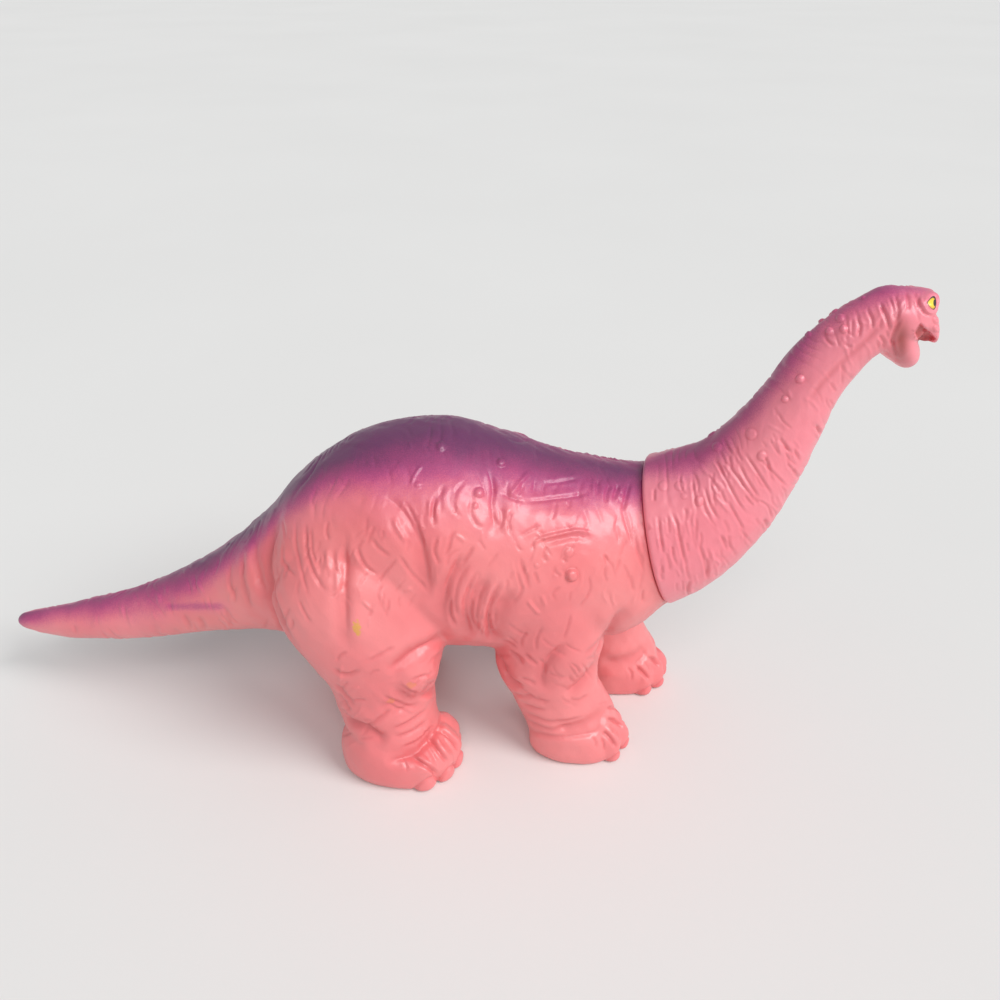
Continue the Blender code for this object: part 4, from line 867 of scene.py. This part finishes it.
def mouth_relief(columns, rows):
    """Height in mm and depth, 0 to 1, of the open mouth's inside, a four-sided hollow seen past the lip.

    Inside is the product of smooth steps of the distance in from each side.
    """
    inside = np.ones(len(columns))
    for (c, r), (next_c, next_r) in zip(MOUTH_CORNERS, MOUTH_CORNERS[1:] + MOUTH_CORNERS[:1]):
        run = np.hypot(next_c - c, next_r - r)
        away = ((next_c - c) * (rows - r) - (next_r - r) * (columns - c)) / run
        inside *= smooth_step(away, *MOUTH_EDGE)
    ridges, _ = wart_relief(columns, rows, MOUTH_RIDGES)
    return ridges - MOUTH_DEPTH * inside, inside


def oval(columns, rows, place):
    """How far across and up each pixel lies in an oval, as shares of its half sizes."""
    column, row, half_width, half_height = place
    return (columns - column) / half_width, (row - rows) / half_height


def eyelid_relief(columns, rows):
    """Height in mm of the swollen rim about the eye, the groove inside it and the eye's own swell.

    Both rings are bells about their place in the oval, and the swell is exp(-(q / its size)^4).
    """
    q = np.hypot(*oval(columns, rows, EYELID))
    rings = sum(tall * bell(q - place, width) for tall, place, width in EYELID_RINGS)
    return rings + EYE_SWELL[0] * np.exp(-(q / EYE_SWELL[1]) ** 4)


def ripple_relief(along, points, pitch_mm, strength, seed):
    """Height in mm of short wrinkles across a limb.

    A wrinkle is a narrow bell wherever the phase, the place along the limb over the pitch bent by
    lumps, passes a whole number; other lumps fade each wrinkle in and out.
    """
    phase = along / (pitch_mm * MM) + WRINKLE_BEND * lumps(points, WRINKLE_BEND_SIZE, seed)
    cut = bell(np.sin(np.pi * phase), WRINKLE_WIDTH)
    patch = smooth_step(lumps(points, WRINKLE_PATCH_SIZE, seed + 1), *WRINKLE_PATCH)
    return strength * patch * (WRINKLE_LIP - cut), patch * cut


def carved(points, edges, normals, height, smoothing, share=1):
    """The points moved outwards by their height in mm, relaxed once, and kept in the solid's box."""
    moved = points + (height * MM * share)[:, None] * normals
    return within_box(relaxed(moved, edges, 1, smoothing))


def within_box(points, edge=BOX_EDGE):
    """Points eased back where they pass the solid part's own box: past edge from it, by a tanh."""
    low, high = CAD_BOX
    over, under = np.maximum(points - high + edge, 0), np.maximum(low + edge - points, 0)
    return points - over + edge * np.tanh(over / edge) + under - edge * np.tanh(under / edge)


def closed_skin(name, points, faces, groove, plane, outer_side, rings):
    """Cuts a skin at the seam and closes it with rings about the seam's axis.

    Each ring gives how far it lies inside the rim's own outline, a fixed radius in place of that or
    None, and its place along the axis. The last ring closes at its middle.
    """
    mesh = bpy.data.meshes.new(name)
    mesh.from_pydata(points.tolist(), [], [list(dict.fromkeys(face)) for face in faces.tolist()])
    # The fold mask: the grooves' depth, where the paint lays painted shade.
    add_mask(mesh, "fold", groove)
    work = bmesh.new()
    work.from_mesh(mesh)
    bmesh.ops.bisect_plane(work, geom=work.verts[:] + work.edges[:] + work.faces[:],
                           plane_co=Vector(plane), plane_no=Vector(outer_side), clear_outer=True)
    rim_edges = [edge for edge in work.edges if edge.is_boundary]
    rim = list(dict.fromkeys(vert for edge in rim_edges for vert in edge.verts))
    spokes = np.array([tuple(vert.co) for vert in rim]) - SEAM_CENTRE
    radial = spokes - (spokes @ SEAM_AXIS)[:, None] * SEAM_AXIS
    radius = np.linalg.norm(radial, axis=1)
    slot_of, layer = {vert: place for place, vert in enumerate(rim)}, rim
    # Each rim edge's own face shows which way round the closing faces go.
    ways = []
    for edge in rim_edges:
        a, b = (slot_of[vert] for vert in edge.verts)
        ways.append((a, b) if edge.link_loops[0].vert is edge.verts[0] else (b, a))
    for inset, fixed, along in rings:
        size = (radius - inset) if fixed is None else np.full(len(rim), fixed)
        spots = SEAM_CENTRE + radial / radius[:, None] * size[:, None] + along * SEAM_AXIS
        fresh = [work.verts.new(Vector(spot)) for spot in spots]
        for a, b in ways:
            work.faces.new((layer[b], layer[a], fresh[a], fresh[b]))
        layer = fresh
    hub = work.verts.new(Vector(SEAM_CENTRE + rings[-1][2] * SEAM_AXIS))
    for a, b in ways:
        work.faces.new((layer[b], layer[a], hub))
    work.to_mesh(mesh)
    work.free()
    return mesh


def thinned(name, mesh):
    """The mesh as an object, thinned below MOST_TRIANGLES with its folds kept, smooth-shaded."""
    mesh.calc_loop_triangles()
    count = len(mesh.loop_triangles)
    obj = put(name + "_fine", mesh)
    if count > MOST_TRIANGLES:
        thin = obj.modifiers.new("thin", "DECIMATE")
        thin.ratio = MOST_TRIANGLES / count
    done = finished(obj)
    done.shade_smooth()
    return put(name, done)


def spray_mask(points, spray_rows):
    """1 where the spray covers fully, 0 where it has faded out, from its two rows at each column.

    It runs on past both, from -1 to 2, so that the paint can be speckled there. The streak on the tail
    is a bell across itself, and fades towards its ends.
    """
    places, full, faded = np.array(spray_rows, float).T
    columns, rows = photo_pixels(right_twin(points))
    column, row, half_length, half_width, share = STREAK
    streak = (share * bell(rows - row, half_width)
              * fade(np.abs(columns - column), 0.5 * half_length, half_length))
    full, faded = np.interp(columns, places, full), np.interp(columns, places, faded)
    cover = np.clip((faded - rows) / (faded - full), SPRAY_LEAST, SPRAY_MOST)
    return np.maximum(cover, STREAK_COVER * streak + SPRAY_LEAST)


def sharp_toes(points, feet):
    """1 on the toes of any foot, whose joins are blended less, and 0 elsewhere."""
    sharp, (low, high) = np.zeros(len(points)), SHARP_TOP_SHARES
    for foot in feet:
        _, reach = foot.polar(points)
        sharp = np.maximum(sharp, smooth_step(reach, *SHARP_START_SHARES) * fade(reach, *SHARP_END_SHARES)
                           * fade(points[:, 2], low * foot.height, high * foot.height))
    return sharp


def body_relief(points, normals, feet):
    """Height in mm and groove depth of all that is carved into the body."""
    columns, rows, facing = photo_view(points, normals)
    folds, groove = fold_relief(columns, rows, BODY_FOLDS + fine_folds(BODY_FINE_FOLDS, BODY_FOLDS_SEED))
    warts, wart_groove = wart_relief(columns, rows, BODY_WARTS)
    warts *= 1 - (points[:, 1] > 0) * fade(rows, *LEFT_WART_ROWS)
    flanks, flank_groove = flank_relief(points, normals)
    height = facing * (folds + warts) + flanks
    # The grooves' depth goes to the fold mask for painted shade.
    groove = np.maximum(facing * np.maximum(groove, wart_groove), FLANK_SHADE_SHARE * flank_groove)
    x, y, z = points.T
    inner_side = facing_share(points, normals) * (y > LEFT_FOOT_INSIDE) * fade(z, *LEFT_FOOT_HEIGHTS)
    inner_folds, inner_groove = fold_relief(*photo_pixels(points), LEFT_FORE_FOOT_FOLDS)
    height, groove = height + inner_side * inner_folds, np.maximum(groove, inner_side * inner_groove)
    for foot in feet:
        toes, toe_groove = toe_relief(points, foot)
        height, groove = height + toes, np.maximum(groove, toe_groove)
    on_back = smooth_step(normals[:, 2], *BACK_SLOPES) * smooth_step(z, *BACK_HEIGHTS)
    on_tail = smooth_step(SEAM_X - TRUNK_LENGTH + TAIL_AHEAD - x, 0, TAIL_FADE)
    ridges, _ = ripple_relief(-x, points, *BACK_WRINKLES)
    wrinkles, wrinkle_groove = ripple_relief(-x - TAIL_LEAN * z, points, *TAIL_WRINKLES)
    sides, _ = ripple_relief(x + SIDE_LEAN * z, points, *SIDE_WRINKLES)
    height += (on_back * (1 - BACK_LOSS_SHARE * on_tail) * ridges + on_tail * wrinkles
               + (1 - on_tail) * (1 - on_back) * sides)
    height += sum(tall * lumps(points, size, seed) for tall, size, seed in BODY_LUMPS)
    return height, np.maximum(groove, TAIL_SHADE_SHARE * on_tail * wrinkle_groove)


def make_body():
    """The body skin, from the tail's tip to the seam, standing on its four soles."""
    shells, feet = [loft(trunk_and_tail())], []
    for leg_shells, foot in leg_sets():
        shells += leg_shells + foot.shells()
        feet.append(foot)
    points, faces, edges = joined("body_shells", shells, BODY_GRAIN)
    blend = BLEND_STRENGTH * (1 - (1 - TOE_BLEND_SHARE) * sharp_toes(points, feet))[:, None]
    points = relaxed(points, edges, BODY_BLENDS, blend)
    normals = outward(points, faces)
    height, groove = body_relief(points, normals, feet)
    points = carved(points, edges, normals, height, BODY_SMOOTHING, smooth_step(points[:, 2], *FLOOR_FADE))
    points[:, 2] = np.maximum(points[:, 2], 0)
    inner_lip = BODY_RIM_RADIUS - SOCKET_LIP_INSET
    mesh = closed_skin("body", points, faces, groove, SEAM_CENTRE, SEAM_AXIS, (
        (0, SOCKET_RADIUS, 0), (0, SOCKET_RADIUS, -FRONT_WALL), (0, inner_lip, -FRONT_WALL),
        (0, inner_lip, -3 * FRONT_WALL)))
    body = thinned("body", mesh)
    add_mask(body.data, "spray", spray_mask(mesh_arrays(body.data)[0], SPRAY_ROWS))
    return body


def neck_relief(points, normals):
    """Height in mm and groove depth of all that is carved into the neck and the head."""
    columns, rows, facing = photo_view(points, normals)
    folds, groove = fold_relief(columns, rows, NECK_FOLDS + fine_folds(NECK_FINE_FOLDS, NECK_FOLDS_SEED))
    warts, wart_groove = wart_relief(columns, rows, NECK_WARTS + NOSTRIL_PADS)
    height = facing * (folds + warts + mouth_relief(columns, rows)[0] + eyelid_relief(columns, rows))
    groove = facing * np.maximum(groove, wart_groove)
    along_neck, _, above_neck = direction(*NECK_WAY_DEG)
    off_rim = smooth_step((points - SEAM_CENTRE) @ SEAM_AXIS, *NECK_RIM_FADE)
    on_head = smooth_step(points[:, 0], HEAD_ROOT[0] - HEAD_AHEAD, HEAD_ROOT[0] + HEAD_PAST)
    edges = smooth_step(np.abs(normals @ above_neck), *EDGE_SLOPES)
    edges = EDGE_LEAST_SHARE + (1 - EDGE_LEAST_SHARE) * edges
    wrinkles, wrinkle_groove = ripple_relief((points - SEAM_CENTRE) @ along_neck, points, *NECK_WRINKLES)
    height += off_rim * (1 - on_head) * edges * wrinkles
    height += off_rim * sum(tall * lumps(points, size, seed) for tall, size, seed in NECK_LUMPS)
    # The grooves' depth goes to the fold mask for painted shade.
    return height, np.maximum(groove, NECK_SHADE_SHARE * off_rim * (1 - on_head) * edges * wrinkle_groove)


def make_neck():
    """The neck skin, from its rounded rim and plug to the lips, with the masks of its paint."""
    shells = [loft(neck_path()), loft(neck_path()[-1:] + head_path(HEAD_SHARES))]
    shells += [loft(head_path(shares)) for shares in (JAW_SHARES, MUZZLE_SHARES, PALATE_SHARES)]
    for side in (-1, 1):
        shells.append(ball(on_head(BROW_SHARES, side), BROW_RADIUS, BROW_STRETCH))
        shells.append(ball(on_head(EYE_SHARES, side), EYE_RADIUS))
    points, faces, edges = joined("neck_shells", shells, NECK_GRAIN)
    points = relaxed(points, edges, NECK_BLENDS, BLEND_STRENGTH)
    normals = outward(points, faces)
    height, groove = neck_relief(points, normals)
    points = carved(points, edges, normals, height, NECK_SMOOTHING)
    stem, lip = SOCKET_RADIUS - SEAM_GAP, -FRONT_WALL - SEAM_GAP
    rounding = [(EDGE_CURVE * (1 - np.cos(a)), None, EDGE_CUT - EDGE_CURVE * np.sin(a))
                for a in np.radians((22.5, 45.0, 67.5, 90.0))]
    mesh = closed_skin("neck", points, faces, groove, SEAM_CENTRE + EDGE_CUT * SEAM_AXIS, -SEAM_AXIS,
                       rounding + [(0, stem, SEAM_GAP), (0, stem, lip), (0, stem + PLUG_LIP, lip),
                                   (0, stem, lip - PLUG_TAPER)])
    neck = thinned("neck", mesh)
    spots, faces, _ = mesh_arrays(neck.data)
    columns, rows, facing = photo_view(spots, outward(spots, faces))
    eye_across, eye_up = oval(columns, rows, EYE)
    near_eye = np.hypot(columns - EYE[0], rows - EYE[1]) < 3 * EYE[2]
    # The mouth's inside and the hollow behind the jaw get masks for painted shade.
    for name, values in (("spray", spray_mask(spots, NECK_SPRAY_ROWS)),
                         ("gum", mouth_relief(columns, rows)[1]),
                         ("valley", facing * bell(np.hypot(*oval(columns, rows, JAW_SHADE_OVAL)), 1)),
                         ("eye_across", eye_across), ("eye_up", eye_up),
                         ("eye_near", smooth_step(facing, *EYE_FACING) * near_eye)):
        add_mask(neck.data, name, values)
    return neck


class Wire:
    """A node's output. Python's operators on it add Math nodes, and give the new output."""

    def __init__(self, recipe, socket):
        self.recipe, self.socket = recipe, socket

    def math(self, operation, *values):
        return self.recipe.add("ShaderNodeMath", {"operation": operation},
                               dict(enumerate((self, *values))))

    def __add__(self, other):
        return self.math("ADD", other)

    def __sub__(self, other):
        return self.math("SUBTRACT", other)

    def __rsub__(self, other):
        return self.recipe.add("ShaderNodeMath", {"operation": "SUBTRACT"}, {0: other, 1: self})

    def __mul__(self, other):
        return self.math("MULTIPLY", other)

    def __truediv__(self, other):
        return self.math("DIVIDE", other)

    __radd__, __rmul__ = __add__, __mul__

    def most(self, other):
        return self.math("MAXIMUM", other)

    def step(self, low, high):
        """0 below low, 1 above high, smooth between."""
        return self.recipe.add("ShaderNodeMapRange", {"interpolation_type": "SMOOTHSTEP"},
                               {"Value": self, "From Min": low, "From Max": high})


class Recipe:
    """One material under construction."""

    def __init__(self, name):
        self.material = bpy.data.materials.new(name)
        self.material.use_nodes = True
        self.tree = self.material.node_tree
        self.shader = self.tree.nodes["Principled BSDF"]
        self.place = self.add("ShaderNodeTexCoord", output="Object")

    def add(self, kind, settings=None, sockets=None, output=0):
        """Adds a node: its settings first, then the values or links of its sockets."""
        node = self.tree.nodes.new(kind)
        for key, value in (settings or {}).items():
            setattr(node, key, value)
        for key, value in (sockets or {}).items():
            self.feed(node.inputs[key], value)
        return Wire(self, node.outputs[output])

    def feed(self, socket, value):
        if isinstance(value, Wire):
            self.tree.links.new(value.socket, socket)
        else:
            socket.default_value = value

    def finish(self, looks):
        """Feeds the shader's own sockets."""
        for key, value in looks.items():
            self.feed(self.shader.inputs[key], value)

    def noise(self, scale, detail=2.0):
        """Noise over the object, about 0 to 1, this many waves to the metre."""
        return self.add("ShaderNodeTexNoise",
                        sockets={"Vector": self.place, "Scale": scale, "Detail": detail})

    def mask(self, name):
        return self.add("ShaderNodeAttribute", {"attribute_name": name}, output="Fac")

    def blend(self, share, below, above):
        """Colour below where the share is 0, above where it is 1."""
        return self.add("ShaderNodeMix", {"data_type": "RGBA"}, {0: share, 6: below, 7: above}, 2)

    def near(self, spot, radii, wobble):
        """Distance from a spot as shares of its radii, with a ragged edge: below 1 is inside."""
        gap = self.add("ShaderNodeVectorMath", {"operation": "SUBTRACT"}, {0: self.place, 1: tuple(spot)})
        share = self.add("ShaderNodeVectorMath", {"operation": "DIVIDE"}, {0: gap, 1: tuple(radii)})
        length = self.add("ShaderNodeVectorMath", {"operation": "LENGTH"}, {0: share}, "Value")
        return length + wobble * (self.noise(MARK_NOISE) - 0.5)


# Colours of the toy, in linear light.
PINK_BODY = (0.81, 0.182, 0.190, 1)
PINK_LIT = (0.87, 0.240, 0.242, 1)
PINK_NECK = (0.89, 0.226, 0.275, 1)
PINK_NECK_LIT = (0.92, 0.275, 0.325, 1)
# Painted shade: darker red laid into the grooves of folds, warts and nails.
FOLD_SHADE_RED = (0.50, 0.050, 0.060, 1)
SPRAY_HAZE = (0.66, 0.105, 0.290, 1)
SPRAY_MAGENTA = (0.46, 0.045, 0.190, 1)
SPRAY_PURPLE = (0.120, 0.016, 0.092, 1)
SMUDGE_YELLOW = (0.72, 0.36, 0.05, 1)
STAIN_ORANGE = (0.80, 0.24, 0.07, 1)
# Painted shade: darker red inside the open mouth and in the hollow behind the jaw.
MOUTH_SHADE_RED = (0.52, 0.085, 0.085, 1)
CHEEK_SHADE_RED = (0.33, 0.045, 0.042, 1)
EYE_YELLOW = (0.92, 0.70, 0.04, 1)
EYE_GOLD = (0.70, 0.40, 0.02, 1)
EYE_BLACK = (0.02, 0.010, 0.008, 1)

# The vinyl's noises, as waves to the metre and detail: its cloudy pink, the spray's speckle and drift,
# the sheen, and its grain in two sizes. Then how red the painted shade makes its folds.
CLOUDS, SPECKLE, DRIFT, SHEEN = (28.0, 3.0), (2600.0, 1.0), (90.0, 2.0), (260.0, 2.0)
FINE_GRAIN, COARSE_GRAIN, GRAIN_HEIGHT, GRAIN_SHARE = (1500.0, 2.0), (420.0, 2.0), 0.0003, 0.35
FOLD_SHADE_SHARE, BODY_PURPLE_SHARE, NECK_PURPLE_SHARE = 0.46, 0.95, 0.6
# Where the clouds turn from one pink to the other, how much speckle and drift ruffle the spray, and how
# much of the grain is fine and coarse. Then the roughness, and what sheen, clouds and spray add to it.
CLOUD_EDGES, SPECKLE_SHARE, DRIFT_SHARE, FINE_SHARE, COARSE_SHARE = (0.35, 0.7), 0.45, 0.5, 0.35, 0.8
ROUGHNESS, SHEEN_ROUGHNESS, CLOUD_ROUGHNESS, SPRAY_ROUGHNESS = 0.38, 0.10, 0.04, 0.05
ROUGH_SPRAY_EDGES = (0.2, 0.8)
# The layers of spray below the purple: the cover where each begins and is full, its share and colour.
SPRAY_LAYERS = ((-1.1, 0.5, 0.24, SPRAY_HAZE), (-0.15, 0.75, 0.92, SPRAY_MAGENTA))
PURPLE_COVER = (0.35, 1.35)
# The painted eye, in shares of its oval: how blunt its back is and how it widens ahead, and the pupil's
# place, half width and half height.
EYE_BLUNT, EYE_WIDENING, PUPIL_AHEAD, PUPIL_SIZES = 0.62, 0.38, 0.64, (0.28, 0.36)
# Where its gold, its dark outline, its pupil and its paint begin and end, and how much flecks move the
# first, second and last of them. The outline is wider above than below by the lean.
GOLD_EDGES, OUTLINE_EDGES, PUPIL_EDGES, EYE_EDGES = (0.45, 0.9), (0.78, 0.86), (0.85, 1.1), (0.96, 1.04)
EYE_FLECKS, GOLD_FLECK, OUTLINE_FLECK, EDGE_FLECK, OUTLINE_LEAN = 2500.0, 0.2, 0.1, 0.06, 0.08
# Painted shade on the neck skin by mask: its share of full cover and its colour.
NECK_SHADE_TINTS = (("valley", 0.95, CHEEK_SHADE_RED), ("gum", 0.85, MOUTH_SHADE_RED))
# Smudges on the right hind leg: pixel, radii along X, Y and Z, colour, and share of full cover.
MARK_WOBBLE, MARK_NOISE, MARK_EDGE = 1.5, 900.0, (0.75, 1.15)
MARKS = (
    ((357, 629), (0.0012, 0.0060, 0.0024), SMUDGE_YELLOW, 0.85),
    ((411, 686), (0.0016, 0.0060, 0.0012), STAIN_ORANGE, 0.5),
    ((390, 701), (0.0014, 0.0060, 0.0011), STAIN_ORANGE, 0.45),
)

# The light and the floor. Each lamp: name, the way towards it, its spread in degrees, its power.
LAMPS = (("window", (0.66, -0.42, 0.72), 34.0, 2.05), ("room", (0.02, -0.68, 0.70), 26.0, 0.72))
SKY_BLUE, SKY_POWER = (0.93, 0.96, 1.0, 1), 0.42
FLOOR_REACH, FLOOR_GREY, FLOOR_PALE = 9.0, (0.76, 0.75, 0.73, 1), (0.81, 0.80, 0.78, 1)


def soft_vinyl(name, pink, pink_lit, purple_share, shade_tints=(), marks=(), eyes=False):
    """Semi-gloss vinyl: cloudy pink, painted shade in its folds, a speckled spray from magenta to purple.

    Over it go painted shade by mask, marks by place, and the painted eyes.
    """
    recipe = Recipe(name)
    clouds = recipe.noise(*CLOUDS)
    colour = recipe.blend(clouds.step(*CLOUD_EDGES), pink, pink_lit)
    # Painted shade: the grooves darkened towards red.
    colour = recipe.blend(recipe.mask("fold") * FOLD_SHADE_SHARE, colour, FOLD_SHADE_RED)
    speckle = recipe.noise(*SPECKLE) - 0.5
    drift = recipe.noise(*DRIFT) - 0.5
    spray = recipe.mask("spray") + speckle * SPECKLE_SHARE + drift * DRIFT_SHARE
    for low, high, share, tint in SPRAY_LAYERS + ((*PURPLE_COVER, purple_share, SPRAY_PURPLE),):
        colour = recipe.blend(spray.step(low, high) * share, colour, tint)
    # Painted shade by mask, in the hollows of the neck skin.
    for mask, share, tint in shade_tints:
        colour = recipe.blend(recipe.mask(mask) * share, colour, tint)
    for spot, radii, tint, share in marks:
        inside = 1.0 - recipe.near(spot, radii, MARK_WOBBLE).step(*MARK_EDGE)
        colour = recipe.blend(inside * share, colour, tint)
    if eyes:
        colour = painted_eye(recipe, colour)
    rough = (ROUGHNESS + SHEEN_ROUGHNESS * recipe.noise(*SHEEN) + CLOUD_ROUGHNESS * clouds
             + SPRAY_ROUGHNESS * spray.step(*ROUGH_SPRAY_EDGES))
    grain = recipe.noise(*FINE_GRAIN) * FINE_SHARE + recipe.noise(*COARSE_GRAIN) * COARSE_SHARE
    bump = recipe.add("ShaderNodeBump", sockets={
        "Strength": GRAIN_SHARE, "Distance": GRAIN_HEIGHT, "Height": grain})
    recipe.finish({
        "Base Color": colour, "Roughness": rough, "Normal": bump, "Specular IOR Level": 0.75,
        "Coat Weight": 0.3, "Coat Roughness": 0.22, "Subsurface Weight": 0.05,
        "Subsurface Radius": (1.0, 0.35, 0.3), "Subsurface Scale": 0.0025})
    return recipe.material


def painted_eye(recipe, colour):
    """The skin's colour with the eye on it: yellow, a golden rim, a slit pupil and a dark outline.

    The eye is the disc of radius 1 in its own across and up, with up divided by a sum of its bluntness
    and its widening times across, which draws it to a point at the back.
    """
    across, up = recipe.mask("eye_across"), recipe.mask("eye_up")
    tall = up / (across * EYE_WIDENING + EYE_BLUNT).most(0.1)
    reach = (across * across + tall * tall).math("SQRT")
    pupil_across, pupil_up = (across - PUPIL_AHEAD) / PUPIL_SIZES[0], up / PUPIL_SIZES[1]
    pupil = (pupil_across * pupil_across + pupil_up * pupil_up).math("SQRT")
    fleck = recipe.noise(EYE_FLECKS) - 0.5
    paint = recipe.blend((reach + fleck * GOLD_FLECK).step(*GOLD_EDGES), EYE_YELLOW, EYE_GOLD)
    outline = (reach + tall * OUTLINE_LEAN + fleck * OUTLINE_FLECK).step(*OUTLINE_EDGES)
    dark = (1.0 - pupil.step(*PUPIL_EDGES)).most(outline)
    inside = (1.0 - (reach + fleck * EDGE_FLECK).step(*EYE_EDGES)) * recipe.mask("eye_near")
    return recipe.blend(inside, colour, recipe.blend(dark, paint, EYE_BLACK))


def skin_under(body, pixel):
    """The body skin's own point under a pixel, on the photographed side."""
    points, faces, _ = mesh_arrays(body.data)
    columns, rows = photo_pixels(points)
    seen = (facing_share(points, outward(points, faces)) > 0) & (points[:, 1] < middle_plane(points[:, 0]))
    return points[np.where(seen, np.hypot(columns - pixel[0], rows - pixel[1]), np.inf).argmin()]


def make_stage():
    """A wide pale floor, a broad soft light high on the camera's side, an even sky, and the camera."""
    scene, reach = bpy.context.scene, FLOOR_REACH
    mesh = bpy.data.meshes.new("floor")
    mesh.from_pydata([(-reach, -reach, 0), (reach, -reach, 0), (reach, reach, 0), (-reach, reach, 0)],
                     [], [(0, 1, 2, 3)])
    floor = put("floor", mesh)
    recipe = Recipe("pale_floor")
    recipe.finish({"Base Color": recipe.blend(recipe.noise(3.0, 3.0), FLOOR_GREY, FLOOR_PALE),
                   "Roughness": 0.7 + 0.1 * recipe.noise(30.0)})
    floor.data.materials.append(recipe.material)
    for name, towards, spread_deg, power in LAMPS:
        lamp = bpy.data.lights.new(name, "SUN")
        lamp.angle, lamp.energy = np.radians(spread_deg), power
        put(name, lamp).rotation_euler = Vector(towards).to_track_quat("Z", "Y").to_euler()
    scene.world = bpy.data.worlds.new("sky")
    scene.world.use_nodes = True
    sky = scene.world.node_tree.nodes["Background"].inputs
    sky["Color"].default_value, sky["Strength"].default_value = SKY_BLUE, SKY_POWER
    camera = put("camera", bpy.data.cameras.new("camera"))
    camera.location = CAMERA_PLACE
    camera.rotation_euler = (np.radians(90 - CAMERA_DIP_DEG), 0, 0)
    camera.data.sensor_width = SENSOR_MM
    camera.data.lens = SENSOR_MM * FOCAL_PIXELS / FRAME_PIXELS
    camera.data.clip_end = CAMERA_REACH
    scene.camera = camera
    scene.view_settings.view_transform = "Standard"


def dress(obj, material, body):
    """Gives a skin its paint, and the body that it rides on."""
    obj.data.materials.clear()
    obj.data.materials.append(material)
    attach(obj, body)


make_stage()
body = make_body()
neck = make_neck()
marks = [(skin_under(body, pixel), radii, tint, share) for pixel, radii, tint, share in MARKS]
dress(body, soft_vinyl("body_vinyl_paint", PINK_BODY, PINK_LIT, BODY_PURPLE_SHARE, marks=marks),
      "body")
dress(neck, soft_vinyl("neck_vinyl_paint", PINK_NECK, PINK_NECK_LIT, NECK_PURPLE_SHARE, NECK_SHADE_TINTS,
                       eyes=True), "neck")
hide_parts("body_with_legs_and_tail")
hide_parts("neck_with_head")
